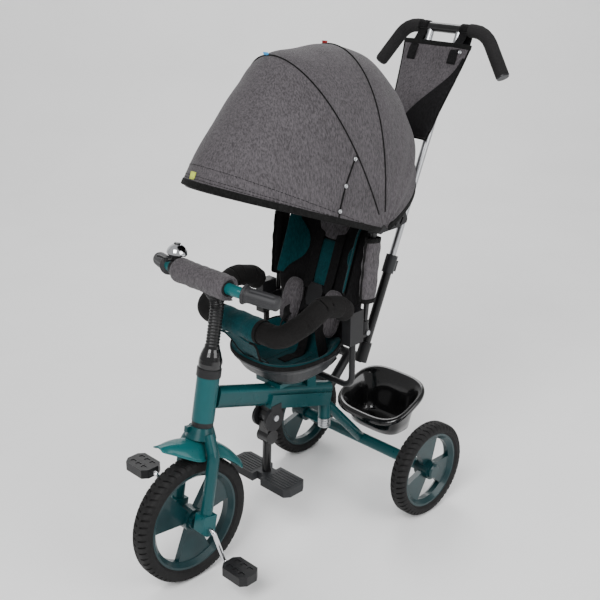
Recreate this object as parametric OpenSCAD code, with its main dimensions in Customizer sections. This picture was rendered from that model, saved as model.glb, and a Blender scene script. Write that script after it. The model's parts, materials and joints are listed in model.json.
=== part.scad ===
// Children's tricycle with a parent push handle, folding canopy, safety bar,
// footrest and rear basket. Millimetres, +Z up, front of the tricycle towards -Y.

/* [Overall] */
// Distance between the front and rear axles
wheelbase = 550; // [520:5:660]
// Distance between the middles of the two rear wheels
track = 410; // [380:5:500]
// Steering axis lean from vertical, degrees
rake = 11.5; // [8:0.5:16]

/* [Front wheel] */
// Outside diameter of the front tyre
front_d = 284; // [250:2:300]
// Width of the front tyre
front_tyre_w = 44; // [34:1:50]
// Diameter of the front rim where the tyre seats
front_seat_d = 226; // [190:2:236]
// Number of spokes of the front wheel
front_spokes = 3; // [3:1:7]

/* [Rear wheels] */
// Outside diameter of a rear tyre
rear_d = 230; // [200:2:260]
// Width of a rear tyre
rear_tyre_w = 40; // [34:1:50]
// Diameter of a rear rim where the tyre seats
rear_seat_d = 182; // [150:2:190]
// Number of spokes of a rear wheel
rear_spokes = 3; // [3:1:7]

/* [Pedals] */
// Distance from the hub to the pedal pin
crank_r = 80; // [60:2:90]
// Thickness of the crank rod
crank_d = 10; // [8:0.5:12]
// Length of a pedal along its pin
pedal_l = 74; // [60:2:90]
// Width of a pedal
pedal_w = 52; // [40:2:70]
// Thickness of a pedal
pedal_t = 21; // [18:1:28]

/* [Fork and handlebar] */
// Distance between the middles of the fork legs at the hub
fork_w = 94; // [90:1:110]
// Diameter of a fork leg
fork_leg_d = 26; // [20:1:28]
// Length of the head tube
head_l = 98; // [80:2:120]
// Diameter of the head tube
head_d = 48; // [44:1:54]
// Overall width of the handlebar
bar_w = 364; // [320:4:420]
// Diameter of the handlebar tube
bar_d = 23; // [20:1:25]
// Diameter of a grip
grip_d = 34; // [30:1:38]
// Length of a grip
grip_l = 74; // [60:1:76]
// Diameter of the padded roll on the handlebar
bar_pad_d = 52; // [44:1:60]
// Diameter of the bell
bell_d = 44; // [36:1:50]

/* [Frame] */
// Height of the main beam
beam_h = 50; // [40:1:54]
// Thickness of the main beam
beam_t = 30; // [24:1:36]
// Diameter of the rear axle tube
axle_tube_d = 28; // [24:1:32]
// Diameter of the rear axle
axle_d = 12; // [8:0.5:14]

/* [Seat] */
// Width of the seat pan
seat_w = 228; // [200:2:240]
// Length of the seat pan from front to back
seat_l = 214; // [190:2:230]
// Depth of the seat pan
seat_h = 54; // [44:2:60]
// Wall of the seat pan
seat_wall = 4; // [3:0.5:6]
// Width of the backrest
back_w = 236; // [210:2:250]
// Height of the backrest along its slope
back_h = 310; // [280:5:320]
// Thickness of the backrest
back_t = 62; // [40:1:66]
// Lean of the backrest from vertical, degrees
back_lean = 20; // [16:1:22]

/* [Safety bar] */
// Diameter of the foam on the safety bar
foam_d = 48; // [38:1:50]
// Diameter of the safety bar tube
safety_d = 14; // [12:1:18]

/* [Push handle] */
// Distance between the middles of the two legs
leg_gap = 80; // [72:2:90]
// Diameter of an upper leg
leg_d = 16; // [14:0.5:18]
// Diameter of a lower leg socket
socket_d = 21; // [20:0.5:24]
// Lean of the legs from vertical, degrees
leg_lean = 23.5; // [22:0.5:25]
// Diameter of the foam grips
push_grip_d = 31; // [28:1:34]
// Length of a lower leg socket
socket_l = 250; // [230:5:280]

/* [Canopy] */
// Half the width of the canopy at its pivots
canopy_half_w = 164; // [162:1:176]
// Length of the canopy from its pivots to its front edge
canopy_front_l = 394; // [350:2:410]
// Thickness of the canopy fabric
canopy_t = 4; // [3:0.5:5]
// Diameter of a canopy bow
bow_d = 7; // [5:0.5:8]

/* [Basket] */
// Width of the basket
basket_w = 214; // [190:2:250]
// Length of the basket from front to back
basket_l = 160; // [140:2:176]
// Height of the middle of the basket's rim above its floor
basket_h = 86; // [80:2:96]
// Wall of the basket
basket_wall = 4; // [3:0.5:5]

/* [Fits] */
// Gap around a turning shaft
run_gap = 0.06; // [0.03:0.01:0.1]
// Gap between pieces that move past each other
side_gap = 0.6; // [0.4:0.1:1]
// Gap between soft pieces and their neighbours
soft_gap = 0.5; // [0.3:0.1:1]

/* [Hidden] */
$fn = 48;

front_r = front_d / 2;
rear_r = rear_d / 2;
// Height and rear position of the push handle's crossbar, measured from the rear axle
push_z = 1090;
push_y = 262;
// The rear axle's place along Y puts the model's box in the middle of the frame
rear_y = (wheelbase + front_r - push_y - push_grip_d / 2) / 2;
hub_y = -wheelbase;

// Heights along the steering axis, measured from the front hub
crown_bottom = front_r + 46;
crown_top = crown_bottom + 24;
bush_flange = 11;
head_bottom = crown_top + side_gap + bush_flange;
head_top = head_bottom + head_l;
collar_h = 18;
cap_bottom = head_top + collar_h + side_gap;
cap_h = 48;
cap_top = cap_bottom + cap_h;
steerer_d = 26;
head_bore_d = 34;
stem_d = 20;
bellows_d = 30;
bar_s = cap_top + 143;
bar_ahead = 47;

// ---------------------------------------------------------------- helpers
function unit(v) = v / norm(v);
function side_of(a) = abs(a[2]) < 0.9 ? unit(cross([0, 0, 1], a)) : unit(cross([1, 0, 0], a));
function turn(a, b) = acos(max(-1, min(1, a * b)));
function mirror_x(p) = [-p[0], p[1], p[2]];
function reversed(list) = [for (i = [len(list) - 1:-1:0]) list[i]];

// Moves children from the rear axle's foot to the model's frame
module place() translate([0, rear_y, 0]) children();

// The steering axis: origin at the front hub, +Z up along the axis
module steer() place() translate([0, hub_y, front_r]) rotate([-rake, 0, 0]) children();

module both_sides() {
    children();
    mirror([1, 0, 0]) children();
}

// Puts children at p with their X axis along u and their Z axis along a
module basis(p, u, a) {
    v = cross(a, u);
    multmatrix([[u[0], v[0], a[0], p[0]],
                [u[1], v[1], a[1], p[1]],
                [u[2], v[2], a[2], p[2]],
                [0, 0, 0, 1]]) children();
}

module aim(p, a) basis(p, side_of(a), a) children();

module rod(p, q, d) aim(p, unit(q - p)) cylinder(d = d, h = norm(q - p));

// Triangles between ring i and ring k of m points
function wall(i, k, m) = [for (j = [0:m - 1]) each [
    [i * m + j, k * m + j, k * m + (j + 1) % m], [i * m + j, k * m + (j + 1) % m, i * m + (j + 1) % m]]];
// Triangles across a ring that starts at point b
function cap(b, m) = [for (j = [0:m / 2 - 2]) each [[b + j, b + j + 1, b + m - 1 - j],
    [b + j + 1, b + m - 2 - j, b + m - 1 - j]]];

// A closed solid through rings of points, each ring counter-clockwise about the way it advances
module skin(rings) {
    m = len(rings[0]);
    n = len(rings);
    polyhedron([for (r = rings) for (p = r) p], concat(cap(0, m),
        [for (f = cap((n - 1) * m, m)) [f[2], f[1], f[0]]],
        [for (i = [0:n - 2]) each wall(i, i + 1, m)]), convexity = 10);
}

// As skin, with the last ring joined back to the first
module skin_loop(rings) {
    m = len(rings[0]);
    n = len(rings);
    polyhedron([for (r = rings) for (p = r) p], [for (i = [0:n - 1]) each wall(i, (i + 1) % n, m)],
        convexity = 10);
}

// A path with each corner turned into an arc of the bend radius
function arced(path, bend) = let (n = len(path)) [for (i = [0:n - 1]) each
    i == 0 || i == n - 1 ? [path[i]] :
    let (a = unit(path[i] - path[i - 1]), b = unit(path[i + 1] - path[i]), w = turn(a, b),
        c = path[i] + unit(b - a) * bend / cos(w / 2), steps = max(2, ceil(w / 15)),
        u = unit(path[i] - a * bend * tan(w / 2) - c))
    [for (k = [0:steps]) c + bend * (cos(w * k / steps) * u + sin(w * k / steps) * a)]];

// Rings of a round section along points, of one diameter or a list of them; level is never in
// line with the path
function tube_rings(points, d, level, count) = let (n = len(points)) [for (i = [0:n - 1])
    let (t = unit(unit(points[min(n - 1, i + 1)] - points[max(0, min(n - 2, i))])
            + unit(points[max(1, i)] - points[max(0, i - 1)])),
        u = unit(cross(level, t)), v = cross(t, u))
    [for (j = [0:count - 1]) points[i] + (is_num(d) ? d : d[i]) / 2 * (cos(360 * j / count) * u + sin(360 * j / count) * v)]];

// A bent round bar, and a bent sleeve with a round bore
module bar(points, d, level, count = 20) skin(tube_rings(points, d, level, count));
module sleeve(points, d, bore, level, count = 20)
    skin_loop(concat(tube_rings(points, d, level, count),
        reversed(tube_rings(points, bore, level, count))));

// A rounded-square ring of the given half sizes at a height; power 2 is an ellipse
function round_ring(a, b, z, power, count) = [for (i = [0:count - 1])
    let (t = 360 * i / count, c = cos(t), s = sin(t))
        [a * sign(c) * pow(abs(c), 2 / power), b * sign(s) * pow(abs(s), 2 / power), z]];

// A box with round edges
module soft_box(size, r) hull() for (x = [-1, 1], y = [-1, 1], z = [-1, 1])
    translate([x * (size[0] / 2 - r), y * (size[1] / 2 - r), z * (size[2] / 2 - r)])
        sphere(r, $fn = 24);

// ---------------------------------------------------------------- wheels
module tyre(r, seat_r, w) rotate([0, 90, 0]) rotate_extrude($fn = 96)
    polygon([[seat_r, -w / 2 + 5], [seat_r + 6, -w / 2], [r - 11, -w / 2], [r - 4, -w / 2 + 4],
        [r - 1, -w / 2 + 10], [r, 0], [r - 1, w / 2 - 10], [r - 4, w / 2 - 4],
        [r - 11, w / 2], [seat_r + 6, w / 2], [seat_r, w / 2 - 5]]);

rim_wall = 14;
spoke_t = 14;
spoke_root = 13;
// Half the width of a spoke at the rim, as a part of the seat radius
spoke_tip = 0.42;

// A dished plastic rim: outer ring, hub and broad spokes, with a bore for the shaft
module rim(seat_r, w, hub_r, hub_w, bore, spokes, turned) rotate([0, 90, 0]) difference() {
    union() {
        rotate_extrude($fn = 96) polygon([[seat_r - rim_wall, -w / 2 + 9], [seat_r - 5, -w / 2],
            [seat_r, -w / 2], [seat_r, w / 2], [seat_r - 5, w / 2],
            [seat_r - rim_wall, w / 2 - 9]]);
        cylinder(r = hub_r, h = hub_w, center = true);
        for (i = [0:spokes - 1]) rotate([0, 0, turned + 360 * i / spokes])
            translate([0, 0, -spoke_t / 2]) linear_extrude(spoke_t)
                polygon([[hub_r - 8, -spoke_root], [seat_r - rim_wall, -spoke_tip * seat_r],
                    [seat_r - rim_wall + 2, 0], [seat_r - rim_wall, spoke_tip * seat_r],
                    [hub_r - 8, spoke_root]]);
    }
    cylinder(d = bore, h = hub_w + 2, center = true);
}

hub_half_w = 16;
front_hub_r = 26;

module at_front_hub() place() translate([0, hub_y, front_r]) children();

module front_tyre() color([0.05, 0.05, 0.06]) at_front_hub()
    tyre(front_r, front_seat_d / 2, front_tyre_w);

module front_rim() color([0.04, 0.27, 0.3]) at_front_hub()
    rim(front_seat_d / 2, front_tyre_w - 10, front_hub_r, 2 * hub_half_w, crank_d,
        front_spokes, 0);

rear_hub_w = 38;
hub_cap_t = 8;

module rear_wheel_at(side) place() translate([side * track / 2, 0, rear_r]) children();

module rear_tyre(side) color([0.05, 0.05, 0.06]) rear_wheel_at(side)
    tyre(rear_r, rear_seat_d / 2, rear_tyre_w);

module rear_rim(side) color([0.04, 0.27, 0.3]) rear_wheel_at(side)
    rim(rear_seat_d / 2, rear_tyre_w - 10, 22, rear_hub_w, axle_d + 2 * run_gap,
        rear_spokes, 66);

// A round cap on the outer face of the hub, hollow over the axle's end
module hub_cap(side) color([0.2, 0.21, 0.22]) rear_wheel_at(side)
    rotate([0, 90 * side, 0]) translate([0, 0, rear_hub_w / 2]) difference() {
        union() {
            cylinder(r = 18, h = hub_cap_t - 3);
            translate([0, 0, hub_cap_t - 3]) cylinder(r1 = 18, r2 = 14, h = 3);
        }
        translate([0, 0, -1]) cylinder(d = axle_d + 4, h = hub_cap_t - 1.5);
    }

module left_rear_tyre() rear_tyre(1);
module left_rear_rim() rear_rim(1);
module left_hub_cap() hub_cap(1);
module right_rear_tyre() rear_tyre(-1);
module right_rear_rim() rear_rim(-1);
module right_hub_cap() hub_cap(-1);

// ---------------------------------------------------------------- cranks and pedals
crank_angle = 13;
crank_out = fork_w / 2 + fork_leg_d / 2 + 14;
crank_bend = 10;
pedal_in = crank_out + 24;
pin_l = pedal_l - 10;

// The crank end on one side: half turn apart, the left one down and a little back
function crank_end(side) = [0, side * crank_r * sin(crank_angle), -side * crank_r * cos(crank_angle)];
function crank_path(side) = [[side * (pedal_in + pin_l), 0, 0] + crank_end(side),
    [side * (pedal_in - 11), 0, 0] + crank_end(side), [side * crank_out, 0, 0]];

module crank() color([0.75, 0.76, 0.78]) at_front_hub()
    bar(arced(concat(crank_path(1), reversed(crank_path(-1))), crank_bend), crank_d, [0, 1, 0]);

// The pedal's outline as parts of its length and width
pedal_outline = [[0.5, -0.26], [0.5, 0.26], [0.36, 0.5], [-0.36, 0.5],
    [-0.5, 0.26], [-0.5, -0.26], [-0.36, -0.5], [0.36, -0.5]];

// A black block with clipped corners and a tread groove pattern, bored for its pin
module pedal(side) color([0.06, 0.06, 0.07]) at_front_hub()
    translate([side * (pedal_in + pedal_l / 2), 0, 0] + crank_end(side)) difference() {
        linear_extrude(pedal_t, center = true) polygon([for (p = pedal_outline)
            [p[0] * pedal_l, p[1] * pedal_w]]);
        translate([-side * (pedal_l / 2 + 1), 0, 0]) rotate([0, side * 90, 0])
            cylinder(d = crank_d + 2 * run_gap, h = pin_l + 3);
        for (y = [-1, 1], x = [-1:1]) for (z = [-1, 1])
            translate([x * pedal_l / 4, y * pedal_w / 4.4, z * pedal_t / 2])
                cube([pedal_l / 6, pedal_w / 6, 3], center = true);
    }

module left_pedal() pedal(1);
module right_pedal() pedal(-1);

clutch_t = 9;

// A fluted knob that slides on the axle beside the hub
module clutch_knob() color([0.08, 0.08, 0.09]) at_front_hub()
    translate([hub_half_w + side_gap / 2, 0, 0]) rotate([0, 90, 0]) difference() {
        cylinder(r = 21, h = clutch_t);
        translate([0, 0, -1]) cylinder(d = crank_d + 2 * run_gap, h = clutch_t + 2);
        for (i = [0:9]) rotate([0, 0, 36 * i]) translate([23, 0, -1])
            cylinder(r = 4, h = clutch_t + 2, $fn = 24);
    }

// ---------------------------------------------------------------- fork
end_h = 54;
end_top = 30;
leg_knee = front_r + 16;
leg_top = [24, 0, crown_bottom + 10];
lug = [10, 14, 12];

module fork() color([0.05, 0.32, 0.35]) steer() {
    translate([0, 0, crown_bottom]) cylinder(r1 = 33, r2 = 24, h = crown_top - crown_bottom);
    both_sides() bar(arced([[fork_w / 2, 0, end_top], [fork_w / 2, 0, leg_knee], leg_top], 36),
        fork_leg_d, [0, 1, 0], 24);
    translate([0, 0, crown_top - 1]) cylinder(d = steerer_d, h = cap_top - 8 - crown_top + 1);
    translate([-18, -33, crown_top - 14]) cube(lug);
}

module fork_ends() color([0.05, 0.05, 0.06]) steer() both_sides()
    translate([fork_w / 2, 0, end_top - end_h / 2]) difference() {
        union() {
            translate([0, 0, 8]) cube([fork_leg_d + 4, 34, end_h - 16], center = true);
            translate([0, 0, end_h / 2 - end_top]) rotate([0, 90, 0])
                cylinder(r = 17, h = fork_leg_d + 4, center = true);
        }
        translate([0, 0, end_h / 2 - end_top]) rotate([0, 90, 0])
            cylinder(d = crank_d + 2 * run_gap, h = 60, center = true);
    }

// The front mudguard follows the tyre, drops at its sides and lifts to a beak in front
fender_steps = 15;
fender_t = 3;
function fender_r(f) = f > 0 ? crown_bottom - 4 + 34 * pow(f, 1.6) : crown_bottom - 4 - 20 * sin(90 * -f);
function fender_half(f) = f > 0 ? 30 + 14 * sin(180 * min(1, 1.15 * f)) - 16 * pow(f, 4)
    : 29 + 4 * sin(180 * -f) - 3 * f * f;
function fender_drop(f) = f > 0 ? 30 * pow(1 - f, 0.6) + 5 + 6 * sin(180 * f) : 30 + 18 * f;
function fender_ring(f, a) = let (r = fender_r(f), w = fender_half(f), h = fender_drop(f))
    let (outer = [for (i = [-8:8]) let (t = i / 8)
        [w * t, r - h * pow(abs(t), 2.6)]])
    let (inner = [for (i = [8:-1:-8]) let (t = i / 8)
        [(w - fender_t) * t, r - fender_t - (h - fender_t) * pow(abs(t), 2.6)]])
    [for (p = concat(outer, inner)) [p[0], -p[1] * sin(a), p[1] * cos(a)]];

module fender() color([0.05, 0.32, 0.35]) steer() skin([for (i = [-fender_steps:fender_steps])
    let (f = -i / fender_steps) fender_ring(f, f > 0 ? 32 * f : 47 * f)]);

module head_bushes() color([0.05, 0.05, 0.06]) steer() {
    for (flip = [0, 1]) translate([0, 0, flip ? head_top : head_bottom]) mirror([0, 0, 1 - flip])
        difference() {
            union() {
                cylinder(d = head_d + (flip ? 4 : -2), h = flip ? collar_h : bush_flange);
                translate([0, 0, -24]) cylinder(d = head_bore_d, h = 25);
            }
            translate([0, 0, -30]) cylinder(d = steerer_d + 2 * run_gap, h = 60);
        }
}

lever_pin_d = 3;
lever_w = 14;
lever_pin_y = steerer_d / 2 + 5.5;
lever_pin_z = 22;

// A domed cap over the top of the steerer, slotted at the rear for its lever
module stem_cap() color([0.03, 0.03, 0.035]) steer() translate([0, 0, cap_bottom]) {
    difference() {
        rotate_extrude() polygon([[0, 0], [24, 0], [24.5, 10], [24, 18], [22, 27], [19, 36],
            [16.5, 42], [15.5, cap_h], [0, cap_h]]);
        translate([0, 0, -1]) cylinder(d = steerer_d, h = cap_h - 7);
        translate([0, 0, cap_h - 8.01]) cylinder(d = stem_d, h = 20);
        translate([-lever_w / 2 - side_gap, lever_pin_y - 3.9, -1])
            cube([lever_w + 2 * side_gap, 20, lever_pin_z + 7]);
    }
    translate([-lever_w / 2 - 2, lever_pin_y, lever_pin_z]) rotate([0, 90, 0])
        cylinder(d = lever_pin_d, h = lever_w + 4);
}

// The locking lever set in the rear of the cap
module cap_lever() color([0.05, 0.05, 0.06]) steer() translate([0, lever_pin_y, cap_bottom + lever_pin_z])
    difference() {
        rotate([90, 0, 90]) linear_extrude(lever_w, center = true)
            polygon([[-3, 2], [1, 3], [7, -2], [10, -10], [10, -17], [7, -20], [5, -17], [4, -10],
                [-2, -5]]);
        rotate([0, 90, 0]) cylinder(d = lever_pin_d + 2 * run_gap, h = 40, center = true);
    }

stem_rise = 96;
stem_bend_r = 40;
stem_lean = atan2(bar_ahead, bar_s - cap_top - stem_rise);
stem_run = stem_rise - stem_bend_r * tan(stem_lean / 2);
stem_arc = stem_bend_r * stem_lean * PI / 180;
stem_l = stem_run + stem_arc + norm([bar_ahead, bar_s - cap_top - stem_rise])
    - stem_bend_r * tan(stem_lean / 2);
bellows_l = stem_l - bar_pad_d / 2 - 3;

// The stem's middle at a distance above the cap: straight, bent forwards, straight
function stem_at(s) = let (w = max(0, min(stem_lean, stem_lean * (s - stem_run) / stem_arc)),
    up = min(s, stem_run), rest = max(0, s - stem_run - stem_arc))
    [0, -stem_bend_r * (1 - cos(w)) - rest * sin(w),
        cap_top + up + stem_bend_r * sin(w) + rest * cos(w)];

module stem() color([0.05, 0.05, 0.06]) steer() difference() {
    bar([for (s = [-8, 0, for (i = [0:6]) stem_run + stem_arc * i / 6, stem_l]) stem_at(s)],
        stem_d, [1, 0, 0]);
    rod([-30, -bar_ahead, bar_s], [30, -bar_ahead, bar_s], bar_d);
}

folds = 20;

// A ribbed rubber sleeve over the stem
module bellows() color([0.05, 0.05, 0.06]) steer() {
    points = [for (i = [0:2 * folds]) stem_at(bellows_l * i / (2 * folds))];
    skin_loop(concat(
        tube_rings(points, [for (i = [0:2 * folds]) bellows_d - 4 * (i % 2)], [1, 0, 0], 20),
        reversed(tube_rings(points, stem_d + 2 * side_gap, [1, 0, 0], 20))));
}

// ---------------------------------------------------------------- handlebar
bar_side = 82;
bar_straight = bar_w / 2 - bar_side;
bar_back = 34;
bar_end = [bar_w / 2, bar_back - bar_ahead, bar_s - 5];
bar_bend = [bar_straight, -bar_ahead, bar_s];
bar_dir = unit(bar_end - bar_bend);

module handlebar() color([0.1, 0.52, 0.52]) steer()
    bar(arced([mirror_x(bar_end), mirror_x(bar_bend), bar_bend, bar_end], 24), bar_d, [0, 0, 1]);

module grip() aim(bar_end - bar_dir * grip_l, bar_dir) difference() {
    union() {
        cylinder(d = grip_d - 2, h = grip_l + 4);
        cylinder(d = grip_d + 8, h = 4);
        for (z = [10:9:grip_l - 4]) translate([0, 0, z]) cylinder(d = grip_d, h = 5);
    }
    translate([0, 0, -1]) cylinder(d = bar_d, h = grip_l + 1);
}

module handlebar_grips() color([0.13, 0.14, 0.15]) steer() both_sides() grip();

bar_pad_half = bar_straight - 22;

module bar_pad() color([0.33, 0.32, 0.34]) steer() difference() {
    translate([0, -bar_ahead, bar_s]) rotate([0, 90, 0])
        cylinder(d = bar_pad_d, h = 2 * bar_pad_half, center = true);
    translate([0, -bar_ahead, bar_s]) rotate([0, 90, 0])
        cylinder(d = bar_d, h = 2 * bar_pad_half + 2, center = true);
    rod(stem_at(stem_l - bar_pad_d), [0, -bar_ahead, bar_s], bellows_d + 2);
}

bell_x = 12 - bar_straight;
bell_foot = bar_d / 2 + 4;
bell_base_h = 14;
bell_rim = bell_foot + bell_base_h + side_gap;
bell_boss = bell_d / 2 - 5;
bell_pin_d = 3;
bell_pin_y = -bell_d / 2 - 6;

module at_bell() steer() translate([bell_x, -bar_ahead, bar_s]) children();

module bell_base() color([0.05, 0.05, 0.06]) at_bell() {
    difference() {
        union() {
            rotate([0, 90, 0]) cylinder(d = bar_d + 8, h = 12, center = true);
            translate([0, 0, bell_foot - 6]) cylinder(d = 20, h = bell_base_h + 6);
            translate([0, 0, bell_rim - 3]) cylinder(d = bell_d - 6, h = 3);
            translate([0, 0, bell_rim - 1]) cylinder(d = 7, h = bell_boss + 1);
            translate([-4, bell_pin_y, bell_foot]) cube([8, -bell_pin_y, 4]);
        }
        rotate([0, 90, 0]) cylinder(d = bar_d, h = 20, center = true);
    }
    translate([0, bell_pin_y, bell_foot]) cylinder(d = 10, h = 4);
    translate([0, bell_pin_y, bell_foot + 3]) cylinder(d = bell_pin_d, h = 6);
}

module bell_dome() color([0.78, 0.79, 0.8]) at_bell() translate([0, 0, bell_rim]) difference() {
    sphere(d = bell_d);
    translate([0, 0, -bell_d]) cylinder(d = 2 * bell_d, h = bell_d);
    difference() {
        sphere(d = bell_d - 3);
        translate([0, 0, bell_boss]) cylinder(d = 14, h = 10);
    }
}

// The thumb lever in front of the dome
module bell_lever() color([0.05, 0.05, 0.06]) at_bell()
    translate([0, bell_pin_y, bell_foot + 4 + side_gap]) difference() {
        union() {
            cylinder(d = 10, h = 4);
            translate([-20, -3, 0]) cube([18, 6, 4]);
            translate([-21, 0, 0]) cylinder(d = 11, h = 4);
        }
        translate([0, 0, -1]) cylinder(d = bell_pin_d + 2 * run_gap, h = 6);
    }

// ---------------------------------------------------------------- frame
beam_front = [0, hub_y + 80, 402];
beam_rear = [0, -128, 292];
beam_dir = unit(beam_rear - beam_front);
beam_l = norm(beam_rear - beam_front);
channel_l = 206;
post_y = -136;
post_top = 306;
post_bottom = 228;
axle_half = track / 2 - rear_hub_w / 2 - 2;
strut_top = [0, -128, 258];
seat_y = -262;
seat_z = 388;
seat_tube_d = 14;
seat_tube_y = -193;
seat_tube_z = 374;

module beam() {
    basis(beam_front, [1, 0, 0], beam_dir) linear_extrude(beam_l) {
        square([beam_t, beam_h - beam_t], center = true);
        for (s = [-1, 1]) translate([0, s * (beam_h - beam_t) / 2]) circle(d = beam_t);
    }
    basis(beam_rear - channel_l * beam_dir, [1, 0, 0], beam_dir)
        translate([-beam_t / 2 - 7, -4, 0]) cube([beam_t + 14, beam_h / 2 + 6, channel_l - 6]);
}

// Plate and saddle welded on the beam for the seat pan and its tube
module seat_plate() {
    translate([-38, seat_y - 56, seat_z - 10]) cube([76, 96, 10]);
    translate([-11, seat_y - 56, seat_z - 40]) cube([22, 96, 32]);
    translate([-13, seat_tube_y - 14, seat_tube_z - 60]) cube([26, 28, 60]);
}

module frame_post() translate([0, post_y, post_bottom]) cylinder(d = 30, h = post_top - post_bottom);

module main_frame() color([0.05, 0.32, 0.35]) difference() {
    union() {
        steer() translate([0, 0, head_bottom]) cylinder(d = head_d, h = head_l);
        place() {
            beam();
            seat_plate();
            frame_post();
            rod(strut_top, [0, 0, rear_r], 24);
            rod([-axle_half, 0, rear_r], [axle_half, 0, rear_r], axle_tube_d);
        }
    }
    steer() translate([0, 0, head_bottom - 1]) cylinder(d = head_bore_d, h = head_l + 2);
    place() rod([-track, 0, rear_r], [track, 0, rear_r], axle_d);
    place() rod([-60, seat_tube_y, seat_tube_z], [60, seat_tube_y, seat_tube_z], seat_tube_d);
}

module rear_axle() color([0.7, 0.7, 0.72]) place()
    rod([-track / 2 - rear_hub_w / 2 - 3, 0, rear_r], [track / 2 + rear_hub_w / 2 + 3, 0, rear_r],
        axle_d);

// A black rubber buffer under the frame post
module post_spring() color([0.05, 0.05, 0.06]) place() translate([0, post_y, post_bottom - 24]) {
    cylinder(d = 22, h = 24);
    for (i = [0:3]) translate([0, 0, 6 * i]) cylinder(d = 30, h = 4);
}

// ---------------------------------------------------------------- basket
basket_y = 70;
basket_z = rear_r + axle_tube_d / 2 + 1;
basket_tilt = 22;
basket_lip = 9;

// A ring that leans with the rim: share 0 is level, 1 has the rim's full tilt
function basket_ring(grow, z, share) = [for (p = round_ring(basket_w / 2 - grow,
    basket_l / 2 - grow, z, 3.2, 48)) p + [0, 0, share * p[1] * tan(basket_tilt)]];

module basket() color([0.03, 0.03, 0.035]) place() difference() {
    union() {
        translate([0, basket_y, basket_z]) skin([
            basket_ring(40, 0, 0), basket_ring(32, 4, 0), basket_ring(18, basket_h - 20, 0.9),
            basket_ring(13, basket_h - 13, 1), basket_ring(1, basket_h - 14, 1),
            basket_ring(0, basket_h - 4, 1), basket_ring(3, basket_h, 1),
            basket_ring(basket_lip, basket_h, 1),
            basket_ring(18 + basket_wall, basket_h - 16, 0.9),
            basket_ring(34 + basket_wall, 8, 0), basket_ring(42 + basket_wall, basket_wall, 0)]);
        for (x = [-62, 56]) translate([x, -axle_tube_d / 2 - 6, rear_r - 18]) cube([6, 66, 34]);
    }
    rod([-track, 0, rear_r], [track, 0, rear_r], axle_tube_d);
    translate([-80, -4, rear_r - 40]) cube([160, 8, 40]);
}

// ---------------------------------------------------------------- footrest
foot_pin = [0, -318, 302];
foot_gap = 30;
foot_disc_d = 54;
foot_bolt_d = 8;
foot_hub_r = 17;

module across(p, d, w) translate(p) rotate([0, 90, 0]) cylinder(d = d, h = w, center = true);

module footrest_bracket() color([0.06, 0.06, 0.07]) place() difference() {
    union() {
        for (x = [-1, 1]) across(foot_pin + [x * (foot_gap / 2 + 4), -2, -4], foot_disc_d, 8);
        translate(foot_pin + [0, 4, 22]) cube([foot_gap + 16, 30, 18], center = true);
    }
    across(foot_pin, foot_bolt_d, 80);
    across(foot_pin, 2 * foot_hub_r + 3, foot_gap);
    beam();
}

foot_len = 150;
foot_pad = [84, 64, 20];
foot_pad_gap = 26;
knuckle = foot_pin - [0, 4, 50];

module footrest_stem() color([0.05, 0.05, 0.06]) place() difference() {
    union() {
        across(foot_pin, 2 * foot_hub_r, foot_gap - 2 * side_gap);
        translate(foot_pin - [0, 4, 28]) cube([foot_gap - 2 * side_gap, 24, 34], center = true);
        across(knuckle, 34, 34);
        rod(knuckle, foot_pin - [0, 8, foot_len + foot_pad[2] / 2 - 3], 20);
    }
    across(foot_pin, foot_bolt_d + 2 * run_gap, 80);
}

pad_outline = [[0.5, -0.3], [0.5, 0.3], [0.38, 0.5], [-0.5, 0.5], [-0.5, -0.5], [0.38, -0.5]];

// Two ribbed pads on a cross piece at the foot of the stem
module footrest_pads() color([0.12, 0.12, 0.13]) place() difference() {
    translate(foot_pin - [0, 8, foot_len]) {
        for (side = [-1, 1]) translate([side * (foot_pad_gap + foot_pad[0]) / 2, 0, 0]) {
            linear_extrude(foot_pad[2], center = true)
                polygon([for (p = pad_outline) [side * p[0] * foot_pad[0], p[1] * foot_pad[1]]]);
            for (i = [-3:3]) translate([0, 8 * i, foot_pad[2] / 2])
                cube([foot_pad[0] - 18, 4, 2.4], center = true);
        }
        cube([foot_pad_gap + 2, 34, foot_pad[2]], center = true);
    }
    rod(knuckle, foot_pin - [0, 8, foot_len + foot_pad[2] / 2 - 3], 20);
}

// ---------------------------------------------------------------- seat
pan_n = 40;

function pan_ring(grow, z) = [for (p = round_ring(seat_w / 2 - grow, seat_l / 2 - grow, z, 2.8, pan_n))
    p + [0, 0, 10 * pow(p[0] / (seat_w / 2), 2) * z / seat_h]];

module seat_pan() color([0.07, 0.07, 0.08]) place() translate([0, seat_y, seat_z]) skin([
    pan_ring(70, 0), pan_ring(46, 5), pan_ring(22, 22), pan_ring(9, seat_h - 12), pan_ring(2, seat_h - 5),
    pan_ring(0, seat_h), pan_ring(4, seat_h + 1), pan_ring(9 + seat_wall, seat_h - 8),
    pan_ring(22 + seat_wall, 24), pan_ring(48, 5 + seat_wall), pan_ring(72, seat_wall)]);

block_x = 135;
block_z = 518;
block_h = 76;
block_w = 24;
block_depth = 42;

// The tube that carries the side blocks, bent up at both ends
module seat_frame() color([0.05, 0.05, 0.06]) place() {
    ends = [for (side = [-1, 1]) [side * block_x, seat_tube_y, block_z - block_h / 2]];
    lows = [for (side = [-1, 1]) [side * block_x, seat_tube_y, seat_tube_z]];
    bar(arced([ends[0], lows[0], lows[1], ends[1]], 26), seat_tube_d, [0, 1, 0]);
}

// The safety bar's plug runs into the block along this line
plug_dir = unit([0, -32, 28]);
plug_mouth = [block_x, seat_tube_y - 13, block_z + 32];
plug_l = 36;
ear_y = seat_tube_y + 37;
ear_z = block_z - 22;
ear_bolt_d = 6;

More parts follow.
